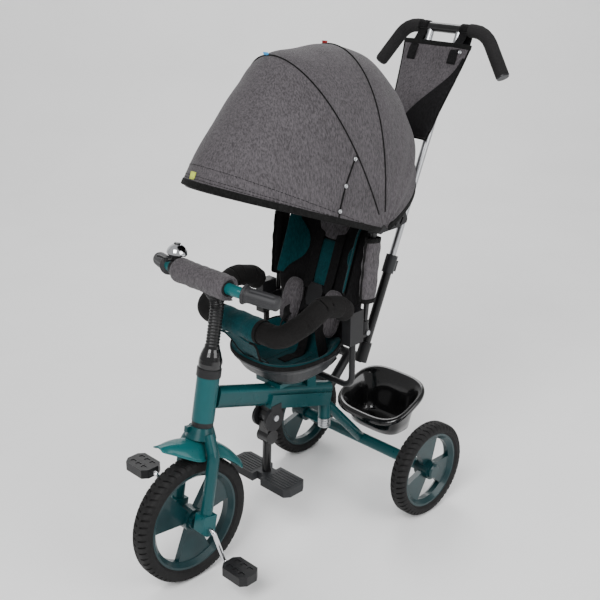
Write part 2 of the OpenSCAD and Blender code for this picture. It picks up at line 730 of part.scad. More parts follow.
module side_blocks() color([0.06, 0.06, 0.07]) place() both_sides() difference() {
    union() {
        translate([block_x, seat_tube_y, block_z]) cube([block_w, block_depth, block_h], center = true);
        translate([block_x - 4, seat_tube_y + 18, ear_z - 13]) cube([8, 20, 26]);
        across([block_x, ear_y, ear_z], 26, 8);
        rod([block_x, ear_y, ear_z - 5], [block_x, ear_y, ear_z + 26], post_d + 6);
        translate([back_w / 2 + soft_gap, seat_tube_y - 4, block_z - 16])
            cube([block_x - back_w / 2 - block_w / 2 - soft_gap + 1, 62, 24]);
    }
    rod(plug_mouth - plug_dir * (plug_l + side_gap), plug_mouth + plug_dir * 30,
        safety_d + 2 * run_gap);
    across([block_x, ear_y, ear_z], ear_bolt_d, 20);
    rod(post_foot, post_head, post_d);
}

module seat_cushion() color([0.05, 0.3, 0.33]) place()
    translate([0, seat_y, seat_z + seat_wall + soft_gap]) skin([
        cushion_ring(76, 0), cushion_ring(38, 20), cushion_ring(20, seat_h - 4),
        cushion_ring(26, seat_h + 6), cushion_ring(60, seat_h + 10)]);

function cushion_ring(grow, z) = round_ring(seat_w / 2 - grow, seat_l / 2 - grow, z, 2.8, 32);

// The backrest's foot, and its slope: +Z runs up along it, +Y to the rear
back_foot = [0, -186, seat_z + 76];
module at_back() place() translate(back_foot) rotate([-back_lean, 0, 0]) children();

module backrest() color([0.06, 0.07, 0.08]) at_back() {
    translate([0, back_t / 2, back_h / 2]) soft_box([back_w, back_t, back_h], 18);
    both_sides() translate([back_w / 2 - 14, -10, back_h / 2 + 20])
        soft_box([28, 70, back_h - 90], 13);
}

module back_bolsters() color([0.33, 0.32, 0.34]) at_back() both_sides()
    translate([60, -17 - soft_gap, 56]) soft_box([52, 34, 104], 15);

strap_t = 3;

module harness() color([0.04, 0.04, 0.045]) at_back() both_sides()
    translate([26, -strap_t / 2 - soft_gap, 200]) cube([26, strap_t, 170], center = true);

module buckle() color([0.03, 0.03, 0.035]) at_back() translate([0, -9 - soft_gap, 84])
    translate([0, 8, 0]) rotate([90, 0, 0]) linear_extrude(16)
        polygon([for (p = pedal_outline) [44 * p[0], 52 * p[1]]]);

// ---------------------------------------------------------------- canopy posts
pivot_y = -134;
pivot_z = 726;
post_head = [block_x + 2, pivot_y, pivot_z];
post_foot = [block_x, ear_y, ear_z + 8];
post_d = 12;
post_dir = unit(post_head - post_foot);
head_half = 10;
sleeve_from = 64;
sleeve_to = 24;
sleeve_size = [28, 44];

module posts() color([0.05, 0.05, 0.06]) place() both_sides()
    rod(post_foot, post_head - post_dir * (head_half + 0.4), post_d);

// Flat padded wraps on the posts
module post_sleeves() color([0.33, 0.32, 0.34]) place() both_sides() difference() {
    length = norm(post_head - post_foot) - sleeve_from - sleeve_to;
    basis(post_foot + post_dir * (sleeve_from + length / 2), [1, 0, 0], post_dir)
        soft_box([sleeve_size[0], sleeve_size[1], length], 11);
    rod(post_foot, post_head, post_d);
}

// ---------------------------------------------------------------- safety bar
safety_path = [plug_mouth, plug_mouth + plug_dir * 42, [block_x, -286, 590], [block_x + 1, -338, 570],
    [118, -392, 545]];
safety_bend = foam_d / 2 + 9;
foam_from = 14;
sleeve_half = 62;

safety_half = [for (i = [1:4]) safety_path[i]];
bar_middle = [0, safety_path[4][1], safety_path[4][2]];

module safety_bar() color([0.5, 0.5, 0.52]) place() bar(arced(concat(
    [mirror_x(plug_mouth - plug_dir * plug_l)], [for (p = safety_half) mirror_x(p)],
    reversed(safety_half), [plug_mouth - plug_dir * plug_l]), safety_bend), safety_d, [0, 0, 1]);

module safety_foam() color([0.05, 0.05, 0.055]) place() both_sides() sleeve(arced(concat(
    [plug_mouth + plug_dir * foam_from], safety_half,
    [bar_middle + [sleeve_half, 0, 0]]), safety_bend),
    foam_d, safety_d + 2 * run_gap, [0, 0, 1]);

// The wrapped middle of the bar
module safety_sleeve() color([0.05, 0.3, 0.33]) place() difference() {
    across(bar_middle, foam_d + 6, 2 * sleeve_half);
    across(bar_middle, safety_d, 2 * sleeve_half + 2);
}

// ---------------------------------------------------------------- push handle
leg_dir = [0, sin(leg_lean), cos(leg_lean)];
leg_head = [leg_gap / 2, push_y, push_z];
// Distances down the legs from the crossbar: the socket's foot, its mouth and the leg's end
socket_foot = 790;
socket_mouth = socket_foot - socket_l;
leg_end = 680;
clip_h = 40;

function down_leg(s) = leg_head - leg_dir * s;

module leg_sockets() color([0.05, 0.05, 0.06]) place() both_sides() difference() {
    rod(down_leg(socket_foot), down_leg(socket_mouth), socket_d);
    rod(down_leg(socket_foot - 20), down_leg(0), leg_d + 2 * run_gap);
}

cup_l = 40;
cup_d = socket_d + 8;

// Cups for the sockets' feet, tied to the frame's post
module socket_base() color([0.05, 0.05, 0.06]) place() difference() {
    middle = [0, down_leg(socket_foot)[1], down_leg(socket_foot)[2]];
    union() {
        both_sides() rod(down_leg(socket_foot + 8), down_leg(socket_foot - cup_l), cup_d);
        rod(mirror_x(down_leg(socket_foot)), down_leg(socket_foot), 22);
        rod(middle, [0, post_y + 10, post_top - 12], 22);
    }
    both_sides() rod(down_leg(socket_foot), down_leg(0), socket_d);
    frame_post();
    beam();
}

// Split collars with a push tab at the mouths of the sockets
module socket_clips() color([0.08, 0.08, 0.09]) place() both_sides() difference() {
    union() {
        rod(down_leg(socket_mouth + clip_h), down_leg(socket_mouth - 3), socket_d + 7);
        basis(down_leg(socket_mouth + clip_h / 2), [1, 0, 0], leg_dir)
            translate([0, socket_d / 2 + 4, 0]) cube([14, 12, 26], center = true);
    }
    rod(down_leg(socket_foot), down_leg(socket_mouth), socket_d);
    rod(down_leg(socket_foot), down_leg(0), leg_d + 2 * run_gap);
}

crossbar_d = 22;
bull_end = [176, push_y - 18, push_z - 88];
bull_bend = [112, push_y, push_z];
grip_from = [70, push_y, push_z];
bull_dir = unit(bull_end - bull_bend);
bull_radius = 60;

module push_legs() color([0.6, 0.61, 0.63]) place() both_sides() difference() {
    rod(down_leg(leg_end), leg_head, leg_d);
    across(leg_head, crossbar_d, 60);
}

module push_crossbar() color([0.08, 0.08, 0.09]) place() bar(arced([mirror_x(bull_end),
    mirror_x(bull_bend), bull_bend, bull_end], bull_radius), crossbar_d, [0, 1, 0]);

module push_grips() color([0.12, 0.12, 0.13]) place() both_sides()
    sleeve(arced([grip_from, bull_bend, bull_end], bull_radius), push_grip_d,
        crossbar_d + 2 * run_gap, [0, 1, 0]);

module grip_plugs() color([0.3, 0.31, 0.32]) place() both_sides()
    rod(bull_end, bull_end + bull_dir * 4, push_grip_d - 3);

bag_top = [190, 12, 10];
bag_bottom = [112, 28, 10];
bag_drop = 40;
bag_foot = 252;

// The middle of a block of the given size clear in front of the legs, s down them
function bag_at(s, size) = let (p = down_leg(s)) [0, p[1] - size[1] / 2 - size[2] * tan(leg_lean) / 2
    - leg_d / 2 / cos(leg_lean) - soft_gap, p[2]];

// The pouch hangs in front of the legs
module parent_bag() color([0.33, 0.32, 0.34]) place() hull() {
    translate(bag_at(bag_drop, bag_top)) cube(bag_top, center = true);
    translate(bag_at(bag_foot, bag_bottom)) cube(bag_bottom, center = true);
}

// ---------------------------------------------------------------- canopy
// Angle above the forward horizontal and reach of each bow and panel line
bow_front_a = 20;
bow_middle_a = 66;
bow_rear_a = 91;
canopy_lines = [[bow_front_a, canopy_front_l], [28, canopy_front_l - 9], [43, canopy_front_l - 20],
    [56, canopy_front_l - 13], [bow_middle_a, canopy_front_l], [78, canopy_front_l - 18],
    [bow_rear_a, canopy_front_l - 28], [104, canopy_front_l - 46], [120, canopy_front_l - 80],
    [136, canopy_front_l - 112], [152, canopy_front_l - 142], [164, canopy_front_l - 158]];
eye_hole = 14;
eye_d = 17;
eye_t = 3;
// Gap between a bow and the fabric over it
bow_gap = 2.5;
bracket_x = block_x + 5;
bracket_t = 5.4;
pin_d = 6;

// How much narrower the canopy is behind the rear bow, at full reach
function narrow(a) = 30 * pow(max(0, a - bow_rear_a) / 75, 1.2);

// One arch across the canopy: [x, reach] pairs from one pivot to the other
function arch(r, w, foot, less) = [for (i = [-8:8]) let (t = 90 + 90 * i / 8, s = pow(abs(sin(t)), 0.75))
    [(w - less * s) * -cos(t), foot + (r - foot) * s]];
function tilt(p, a) = [p[0], pivot_y - p[1] * cos(a), pivot_z + p[1] * sin(a)];
function canopy_ring(a, r) = [for (p = concat(arch(r, canopy_half_w, eye_hole, narrow(a)),
    reversed(arch(r - canopy_t, canopy_half_w - canopy_t, eye_hole, narrow(a))))) tilt(p, a)];

module canopy() color([0.33, 0.32, 0.34]) place()
    skin([for (l = canopy_lines) canopy_ring(l[0], l[1])]);

// Slotted side plates that carry the bows' pins on the posts
plate_outline = [[-12, -8], [8, -9], [20, -12], [70, -12], [98, -6], [100, 2], [92, 20], [78, 28], [40, 20], [-6, 14]];

module canopy_brackets() color([0.05, 0.05, 0.06]) place() both_sides() {
    basis(post_head, [1, 0, 0], post_dir) cube([16, 20, 2 * head_half], center = true);
    difference() {
        translate([bracket_x, pivot_y, pivot_z]) rotate([90, 0, 90]) linear_extrude(bracket_t)
            polygon(plate_outline);
        for (i = [0:2]) translate([bracket_x - 5, pivot_y + 40 + 17 * i, pivot_z - 4])
            rotate([-30, 0, 0]) cube([20, 5, 16]);
    }
    rod([bracket_x, pivot_y, pivot_z], [eye_x(3), pivot_y, pivot_z], pin_d);
}

// The bows' eyes stack outwards on the pin
function eye_x(i) = bracket_x + bracket_t + side_gap + i * (eye_t + side_gap);

// A flat bow: an arch of strip between two eyes, at angle a and place i in the stack
module bow(a, r, i) color([0.1, 0.1, 0.11]) place() {
    x = eye_x(i);
    reach = r - canopy_t - bow_gap;
    difference() {
        union() {
            basis([0, pivot_y, pivot_z], [1, 0, 0], [0, -sin(a), -cos(a)])
                linear_extrude(bow_d, center = true) polygon(concat(arch(reach, x + eye_t - 0.2, 5, 0),
                    reversed(arch(reach - eye_t + 0.4, x + 0.2, 5, 0))));
            for (side = [-1, 1]) across([side * (x + eye_t / 2), pivot_y, pivot_z], eye_d, eye_t);
        }
        rod([-2 * x, pivot_y, pivot_z], [2 * x, pivot_y, pivot_z], pin_d + 2 * run_gap);
    }
}

module front_bow() bow(bow_front_a, canopy_front_l, 2);
module middle_bow() bow(bow_middle_a, canopy_front_l, 1);
module rear_bow() bow(bow_rear_a, canopy_front_l - 28, 0);

// The footrest's bolt and the bolts in the side blocks' ears
module fasteners() color([0.7, 0.7, 0.72]) place() {
    across(foot_pin, foot_bolt_d, foot_gap + 16);
    for (x = [-1, 1]) across(foot_pin + [x * (foot_gap / 2 + 10), 0, 0], 14, 4);
    both_sides() {
        across([block_x, ear_y, ear_z], ear_bolt_d, post_d + 6);
        across([block_x + post_d / 2 + 5, ear_y, ear_z], 11, 4);
    }
}

main_frame();
head_bushes();
rear_axle();
fork();
fork_ends();
fender();
stem_cap();
cap_lever();
bellows();
stem();
handlebar();
handlebar_grips();
bar_pad();
bell_base();
bell_dome();
bell_lever();
front_tyre();
front_rim();
crank();
clutch_knob();
left_pedal();
right_pedal();
left_rear_tyre();
left_rear_rim();
left_hub_cap();
right_rear_tyre();
right_rear_rim();
right_hub_cap();
basket();
footrest_bracket();
footrest_stem();
footrest_pads();
seat_pan();
seat_frame();
side_blocks();
seat_cushion();
backrest();
back_bolsters();
harness();
buckle();
posts();
post_sleeves();
safety_bar();
safety_foam();
safety_sleeve();
leg_sockets();
socket_clips();
push_legs();
push_crossbar();
push_grips();
grip_plugs();
socket_base();
parent_bag();
canopy_brackets();
front_bow();
middle_bow();
rear_bow();
canopy();
post_spring();
fasteners();
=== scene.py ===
"""Looks of a children's tricycle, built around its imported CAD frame. Metres, front towards -Y."""
import json
import math

import bmesh
import bpy
from mathutils import Matrix, Vector, noise
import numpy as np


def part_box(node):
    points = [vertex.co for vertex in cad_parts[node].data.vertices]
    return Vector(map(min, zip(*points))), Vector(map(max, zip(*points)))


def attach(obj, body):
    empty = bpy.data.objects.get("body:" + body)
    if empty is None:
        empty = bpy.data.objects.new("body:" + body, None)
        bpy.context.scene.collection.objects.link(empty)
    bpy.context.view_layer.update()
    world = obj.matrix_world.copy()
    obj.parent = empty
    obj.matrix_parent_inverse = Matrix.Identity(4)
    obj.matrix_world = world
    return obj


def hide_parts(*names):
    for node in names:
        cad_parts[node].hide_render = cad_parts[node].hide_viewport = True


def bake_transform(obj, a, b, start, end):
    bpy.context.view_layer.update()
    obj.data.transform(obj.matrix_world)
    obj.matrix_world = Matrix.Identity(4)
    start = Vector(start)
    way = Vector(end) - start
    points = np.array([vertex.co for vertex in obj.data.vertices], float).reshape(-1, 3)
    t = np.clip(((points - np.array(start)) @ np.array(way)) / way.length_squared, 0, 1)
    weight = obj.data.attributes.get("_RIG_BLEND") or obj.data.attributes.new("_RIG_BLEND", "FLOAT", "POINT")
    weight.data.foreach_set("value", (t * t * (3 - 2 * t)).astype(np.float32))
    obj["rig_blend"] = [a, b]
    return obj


bl_info = {
    "name": "Canopy tricycle looks",
    "version": (1, 0, 0),
    "blender": (4, 5, 0),
    "location": "View3D > Sidebar > Tricycle",
    "description": "Fabric, foam, tread and finishes for a children's tricycle with a canopy",
    "category": "Object",
}

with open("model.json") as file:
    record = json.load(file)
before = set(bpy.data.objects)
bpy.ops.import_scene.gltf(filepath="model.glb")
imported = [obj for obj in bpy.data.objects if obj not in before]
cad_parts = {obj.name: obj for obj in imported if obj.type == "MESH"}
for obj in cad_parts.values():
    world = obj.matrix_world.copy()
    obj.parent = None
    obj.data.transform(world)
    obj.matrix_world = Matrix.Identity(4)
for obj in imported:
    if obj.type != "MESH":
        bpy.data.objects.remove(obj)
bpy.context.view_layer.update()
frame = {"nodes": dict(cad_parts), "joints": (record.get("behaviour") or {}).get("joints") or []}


# ------------------------------------------------------------------ places on the tricycle
def middle(node):
    """The middle of a CAD node's box."""
    low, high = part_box(node)
    return (low + high) / 2


def joint_place(name):
    """Where a joint of the tricycle sits."""
    return Vector(next(j["pos_m"] for j in frame["joints"] if j["name"] == name))


AXLE = middle("rear_axle")
PIVOT = joint_place("front_bow_hinge")
HUB = joint_place("steering")
STEER_LEAN = Vector(next(j["axis"] for j in frame["joints"] if j["name"] == "steering"))
LEG_SLOPE = Vector(next(j["axis"] for j in frame["joints"] if j["name"] == "push_handle_slide"))
PLUG_SLOPE = Vector(next(j["axis"] for j in frame["joints"] if j["name"] == "safety_bar_slide"))


def spot(x, y, z):
    """A point given in millimetres from the ground under the middle of the rear axle."""
    return Vector((x / 1000, AXLE.y + y / 1000, z / 1000))


# ------------------------------------------------------------------ settings
class FinishSettings(bpy.types.PropertyGroup):
    """Colours of the tricycle's finishes."""
    enamel: bpy.props.FloatVectorProperty(
        name="Frame enamel", description="Gloss enamel of the frame, fork and mudguard",
        subtype="COLOR", size=3, min=0, max=1, default=(0.0018, 0.046, 0.051))
    bar_enamel: bpy.props.FloatVectorProperty(
        name="Handlebar enamel", description="Gloss enamel of the handlebar",
        subtype="COLOR", size=3, min=0, max=1, default=(0.0045, 0.094, 0.100))
    wheel_plastic: bpy.props.FloatVectorProperty(
        name="Wheel plastic", description="Moulded plastic of the wheels",
        subtype="COLOR", size=3, min=0, max=1, default=(0.0012, 0.022, 0.026))
    grey_cloth: bpy.props.FloatVectorProperty(
        name="Grey cloth", description="Melange cloth of the canopy, bag and wraps",
        subtype="COLOR", size=3, min=0, max=1, default=(0.072, 0.066, 0.071))
    teal_cloth: bpy.props.FloatVectorProperty(
        name="Teal cloth", description="Cloth of the seat cushion and safety bar sleeve",
        subtype="COLOR", size=3, min=0, max=1, default=(0.0028, 0.042, 0.049))
    black_cloth: bpy.props.FloatVectorProperty(
        name="Black cloth", description="Cloth of the backrest, bindings and lining",
        subtype="COLOR", size=3, min=0, max=1, default=(0.0075, 0.0072, 0.0078))


class SizeSettings(bpy.types.PropertyGroup):
    """Sizes of the soft pieces."""
    piping: bpy.props.FloatProperty(
        name="Piping", description="Radius of the cord in the canopy's seams",
        unit="LENGTH", subtype="DISTANCE", min=0.0005, max=0.004, default=0.0014)
    hem: bpy.props.FloatProperty(
        name="Hem", description="Width of the canopy's bound edge",
        unit="LENGTH", subtype="DISTANCE", min=0.004, max=0.03, default=0.013)
    cloth_thickness: bpy.props.FloatProperty(
        name="Cloth thickness", description="Thickness of the canopy's cloth with its lining",
        unit="LENGTH", subtype="DISTANCE", min=0.0008, max=0.004, default=0.002)
    tread_blocks: bpy.props.IntProperty(
        name="Tread blocks", description="Tread blocks round a tyre", min=30, max=90, default=58)
    puff: bpy.props.FloatProperty(
        name="Puff", description="How far a padded piece may swell when it is filled",
        unit="LENGTH", subtype="DISTANCE", min=0.0, max=0.016, default=0.006)


def colours():
    """The colours set in the panel."""
    return bpy.context.scene.tricycle_finish


def sizes():
    """The soft pieces' sizes set in the panel."""
    return bpy.context.scene.tricycle_sizes


# ------------------------------------------------------------------ materials
class Finish:
    """One node material: a surface shader with places to plug colour, roughness and bump."""

    def __init__(self, name, colour, roughness, metallic=0.0, coat=0.0, sheen=0.0, gloss=0.3):
        self.material = bpy.data.materials.new(name)
        self.material.use_nodes = True
        self.nodes = self.material.node_tree.nodes
        self.links = self.material.node_tree.links
        self.shader = self.nodes["Principled BSDF"]
        self.colour = tuple(colour)
        self.set("Base Color", (*colour, 1))
        self.set("Roughness", roughness)
        self.set("Metallic", metallic)
        self.set("Coat Weight", coat)
        self.set("Specular IOR Level", gloss)
        self.set("Coat Roughness", 0.08)
        self.set("Sheen Weight", sheen)
        self.set("Sheen Roughness", 0.45)
        self.height = None

    def set(self, socket, value):
        self.shader.inputs[socket].default_value = value

    def node(self, kind, **values):
        made = self.nodes.new(kind)
        for key, value in values.items():
            if key in made.inputs:
                made.inputs[key].default_value = value
            else:
                setattr(made, key, value)
        return made

    def place(self, scale=(1, 1, 1)):
        """Coordinates on the surface, stretched by scale."""
        where = self.node("ShaderNodeTexCoord")
        stretch = self.node("ShaderNodeMapping", Scale=scale)
        self.links.new(where.outputs["Object"], stretch.inputs["Vector"])
        return stretch.outputs["Vector"]

    def speckle(self, scale, detail=3.0, stretch=(1, 1, 1)):
        """Fine random grain from 0 to 1."""
        grain = self.node("ShaderNodeTexNoise", Scale=scale, Detail=detail)
        self.links.new(self.place(stretch), grain.inputs["Vector"])
        return grain.outputs["Fac"]

    def bands(self, scale, direction):
        """Straight threads or ribs along one direction."""
        wave = self.node("ShaderNodeTexWave", Scale=scale, Distortion=0.35)
        wave.bands_direction = direction
        self.links.new(self.place(), wave.inputs["Vector"])
        return wave.outputs["Fac"]

    def math(self, kind, a, b):
        made = self.node("ShaderNodeMath", operation=kind)
        for socket, value in zip(made.inputs, (a, b)):
            if isinstance(value, (int, float)):
                socket.default_value = value
            else:
                self.links.new(value, socket)
        return made.outputs[0]

    def ramp(self, value, stops):
        """Colours along a value: stops are (position, colour)."""
        made = self.node("ShaderNodeValToRGB")
        made.color_ramp.elements[0].position = stops[0][0]
        made.color_ramp.elements[0].color = (*stops[0][1], 1)
        made.color_ramp.elements[1].position = stops[-1][0]
        made.color_ramp.elements[1].color = (*stops[-1][1], 1)
        for position, colour in stops[1:-1]:
            made.color_ramp.elements.new(position).color = (*colour, 1)
        self.links.new(value, made.inputs["Fac"])
        return made.outputs["Color"]

    def paint(self, value, stops):
        self.links.new(self.ramp(value, stops), self.shader.inputs["Base Color"])

    def rough(self, value, low, high):
        spread = self.node("ShaderNodeMapRange")
        spread.inputs["To Min"].default_value = low
        spread.inputs["To Max"].default_value = high
        self.links.new(value, spread.inputs["Value"])
        self.links.new(spread.outputs["Result"], self.shader.inputs["Roughness"])

    def bump(self, value, depth, strength=0.5):
        """Adds relief of the given depth in metres."""
        relief = self.node("ShaderNodeBump", Strength=strength, Distance=depth)
        self.links.new(value, relief.inputs["Height"])
        if self.height is not None:
            self.links.new(self.height, relief.inputs["Normal"])
        self.height = relief.outputs["Normal"]
        self.links.new(self.height, self.shader.inputs["Normal"])


def shade(colour, factor):
    return tuple(min(1.0, c * factor) for c in colour)


def enamel(name, colour):
    """Gloss enamel on tube, with faint ripple, dust in the gloss and pale rubbed edges."""
    made = Finish(name, colour, 0.34, coat=0.12, gloss=0.22)
    ripple = made.speckle(60, 2)
    made.rough(made.speckle(35, 4), 0.22, 0.36)
    convexity = made.node("ShaderNodeNewGeometry").outputs["Pointiness"]
    edge = made.math("MULTIPLY", made.math("SUBTRACT", convexity, 0.53), 6.0)
    made.paint(made.math("ADD", made.math("MULTIPLY", ripple, 0.25), edge),
               [(0.0, shade(colour, 0.92)), (0.3, shade(colour, 1.05)), (1.0, shade(colour, 1.7))])
    made.bump(ripple, 0.0004, 0.25)
    return made.material


def moulded(name, colour, roughness, grain=900, coat=0.0, depth=0.00025):
    """Moulded plastic with a fine spark-eroded grain."""
    made = Finish(name, colour, roughness, coat=coat)
    cloud = made.speckle(26, 4)
    made.paint(cloud, [(0.3, shade(colour, 0.85)), (0.7, shade(colour, 1.2))])
    made.rough(cloud, max(0.05, roughness - 0.06), roughness + 0.08)
    made.bump(made.speckle(grain, 2), depth, 0.35)
    return made.material


def bright_metal(name, colour, roughness, stretch=(1, 1, 1)):
    """Plated or drawn metal with faint streaks and handling marks."""
    made = Finish(name, colour, roughness, metallic=1.0)
    streaks = made.speckle(300, 3, stretch)
    made.rough(streaks, roughness * 0.7, roughness * 1.6)
    made.paint(made.speckle(14, 5), [(0.3, shade(colour, 0.86)), (0.7, colour)])
    made.bump(streaks, 0.0001, 0.15)
    return made.material


def woven(name, dark, light, thread=420, fuzz=0.12, pile=0.0006):
    """Melange cloth: crossing threads, mixed yarn colours, slubs and a soft sheen."""
    made = Finish(name, light, 0.9, sheen=fuzz, gloss=0.08)
    warp = made.bands(thread, "X")
    weft = made.bands(thread, "Y")
    rise = made.bands(thread, "Z")
    threads = made.math("ADD", made.math("MULTIPLY", warp, weft), made.math("MULTIPLY", rise, 0.6))
    slubs = made.speckle(330, 3, (1, 1, 0.35))
    heather = made.speckle(1100, 2)
    cloud = made.speckle(9, 3)
    tone = made.math("ADD", made.math("MULTIPLY", slubs, 0.5),
                     made.math("ADD", made.math("MULTIPLY", heather, 0.38),
                               made.math("MULTIPLY", cloud, 0.14)))
    made.paint(tone, [(0.40, dark), (0.52, tuple((a + b) / 2 for a, b in zip(dark, light))),
                      (0.64, light)])
    made.bump(threads, pile, 0.35)
    made.bump(slubs, pile * 1.2, 0.3)
    return made.material


def foam_skin(name, colour):
    """Closed-cell foam or its knitted cover: pitted, dull and a little dusty."""
    made = Finish(name, colour, 0.85, sheen=0.02, gloss=0.10)
    pits = made.speckle(520, 4)
    cloud = made.math("MULTIPLY", made.speckle(18, 4), 0.3)
    made.paint(made.math("ADD", made.math("MULTIPLY", pits, 0.7), cloud),
               [(0.35, shade(colour, 0.65)), (0.65, shade(colour, 1.5))])
    made.bump(pits, 0.0008, 0.5)
    return made.material


def tyre_foam(name):
    """Foam tyre: near black, with random grey scuffs, a painted highlight on its raised block edges and
    painted shade in its grooves.
    """
    colour = (0.010, 0.0098, 0.010)
    made = Finish(name, colour, 0.66, gloss=0.14)
    scuff = made.speckle(120, 5)
    convexity = made.node("ShaderNodeNewGeometry").outputs["Pointiness"]
    # the tone mixes real scuff noise with pointiness: a painted highlight on raised edges and painted shade
    # in the grooves
    tone = made.math("ADD", made.math("MULTIPLY", scuff, 0.5), made.math("SUBTRACT", convexity, 0.28))
    made.paint(tone, [(0.35, shade(colour, 0.7)), (0.6, shade(colour, 1.6)), (0.9, (0.045, 0.043, 0.041))])
    made.rough(scuff, 0.5, 0.78)
    made.bump(made.speckle(800, 3), 0.0004, 0.4)
    return made.material


def finishes():
    """Every finish of the tricycle by name, made once."""
    tint = colours()
    made = {
        "enamel": enamel("frame_enamel", tint.enamel),
        "bar_enamel": enamel("handlebar_enamel", tint.bar_enamel),
        "wheel": moulded("wheel_plastic", tint.wheel_plastic, 0.33, 500, 0.25),
        "black": moulded("black_plastic", (0.0095, 0.0095, 0.0105), 0.42),
        "gloss_black": moulded("gloss_black_plastic", (0.0045, 0.0045, 0.005), 0.16, 300, 0.5, 0.0001),
        "satin_metal": moulded("black_coated_tube", (0.0065, 0.0065, 0.007), 0.30, 420, 0.3),
        "dark_cap": moulded("dark_grey_plastic", (0.020, 0.021, 0.023), 0.40),
        "grip_rubber": moulded("grip_rubber", (0.022, 0.022, 0.024), 0.50, 700),
        "ribbed_rubber": moulded("sleeve_rubber", (0.0075, 0.0075, 0.008), 0.36, 500),
        "pad_rubber": moulded("foot_pad_rubber", (0.017, 0.018, 0.020), 0.55, 600),
        "chrome": bright_metal("chrome", (0.74, 0.75, 0.77), 0.10),
        "steel": bright_metal("drawn_steel", (0.55, 0.56, 0.58), 0.24, (1, 1, 12)),
        "silver": bright_metal("silver_tube", (0.50, 0.51, 0.53), 0.30, (1, 1, 14)),
        "grey_cloth": woven("grey_melange_cloth", shade(tint.grey_cloth, 0.55),
                            shade(tint.grey_cloth, 1.5)),
        "teal_cloth": woven("teal_cloth", shade(tint.teal_cloth, 0.72), shade(tint.teal_cloth, 1.35),
                            500, 0.08),
        "black_cloth": woven("black_cloth", shade(tint.black_cloth, 0.6), shade(tint.black_cloth, 1.6),
                             500, 0.04),
        "binding": woven("black_binding", (0.004, 0.004, 0.004), (0.012, 0.012, 0.012), 900, 0.03),
        "webbing": woven("black_webbing", (0.004, 0.004, 0.0045), (0.013, 0.0125, 0.013), 700, 0.03),
        "foam": foam_skin("grip_foam", (0.016, 0.0155, 0.016)),
        "dark_cover": foam_skin("knitted_foam_cover", (0.0085, 0.008, 0.008)),
        "tyre": tyre_foam("tyre_foam"),
        "lime": woven("lime_tag", (0.42, 0.50, 0.06), (0.62, 0.70, 0.10), 900),
        "blue": woven("blue_tag", (0.04, 0.28, 0.60), (0.07, 0.42, 0.80), 900),
        "red": woven("red_tag", (0.16, 0.01, 0.01), (0.30, 0.02, 0.02), 900),
    }
    return made


FINISHES = {}


def finish(name):
    if not FINISHES:
        FINISHES.update(finishes())
    return FINISHES[name]


# ------------------------------------------------------------------ mesh helpers
def piece(name, points, faces, look, smooth=True):
    """A new mesh object from points and faces."""
    mesh = bpy.data.meshes.new(name)
    mesh.from_pydata([tuple(p) for p in points], [], faces)
    mesh.update()
    made = bpy.data.objects.new(name, mesh)
    bpy.context.scene.collection.objects.link(made)
    made.data.materials.append(finish(look))
    tidy_normals(made)
    if smooth:
        mesh.shade_smooth()
    return made


def tidy_normals(made):
    shape = bmesh.new()
    shape.from_mesh(made.data)
    bmesh.ops.recalc_face_normals(shape, faces=shape.faces)
    shape.to_mesh(made.data)
    shape.free()


def loft(name, rings, look, round_rings=True, capped=True, smooth=True):
    """A skin through rings of equal length. Open rings give a sheet."""
    count = len(rings[0])
    points = [p for ring in rings for p in ring]
    across = count if round_rings else count - 1
    faces = [(i * count + j, i * count + (j + 1) % count, (i + 1) * count + (j + 1) % count,
              (i + 1) * count + j) for i in range(len(rings) - 1) for j in range(across)]
    if round_rings and capped:
        faces.append(tuple(range(count)))
        faces.append(tuple(reversed(range(len(points) - count, len(points)))))
    return piece(name, points, faces, look, smooth)


def circle(count):
    """Evenly spaced angles once round."""
    return [2 * math.pi * j / count for j in range(count)]


def sections(path, radius, count=16):
    """Rings along a path. radius is a number or a list."""
    rings = []
    side = None
    for i, p in enumerate(path):
        ahead = (path[min(i + 1, len(path) - 1)] - path[max(i - 1, 0)]).normalized()
        if side is None:
            side = ahead.orthogonal().normalized()
        side = (side - ahead * side.dot(ahead)).normalized()
        other = ahead.cross(side)
        r = radius[i] if isinstance(radius, (list, tuple)) else radius
        rings.append([p + side * r * math.cos(a) + other * r * math.sin(a)
                      for a in circle(count)])
    return rings


def cord(name, path, radius, look, count=8, capped=True):
    """A round bead, piping or tube along a path."""
    return loft(name, sections(path, radius, count), look, capped=capped)


def curve_through(points, steps=8):
    """A smooth line through points."""
    count = len(points)
    line = []
    for i in range(count - 1):
        a, b, c, d = (points[max(0, min(count - 1, k))] for k in range(i - 1, i + 3))
        for s in range(steps):
            t = s / steps
            line.append(0.5 * ((2 * b) + (c - a) * t + (2 * a - 5 * b + 4 * c - d) * t ** 2
                               + (3 * b - a - 3 * c + d) * t ** 3))
    line.append(points[-1].copy())
    return line


def rounded_corners(points, bend, steps=6):
    """A path of straight runs with each corner turned into an arc."""
    line = [points[0]]
    for a, b, c in zip(points, points[1:], points[2:]):
        before, after = (b - a).normalized(), (c - b).normalized()
        turn = before.angle(after)
        cut = bend * math.tan(turn / 2)
        centre = b + (after - before).normalized() * bend / math.cos(turn / 2)
        start = b - before * cut - centre
        axis = before.cross(after).normalized()
        line += [centre + Matrix.Rotation(turn * k / steps, 3, axis) @ start for k in range(steps + 1)]
    return line + [points[-1]]


def modify(made, kind, **values):
    """Adds a modifier and applies it."""
    modifier = made.modifiers.new(kind.title(), kind)
    for key, value in values.items():
        setattr(modifier, key, value)
    bpy.context.view_layer.update()
    graph = bpy.context.evaluated_depsgraph_get()
    fresh = bpy.data.meshes.new_from_object(made.evaluated_get(graph), depsgraph=graph)
    made.modifiers.clear()
    old = made.data
    made.data = fresh
    bpy.data.meshes.remove(old)
    made.data.shade_smooth()
    return made


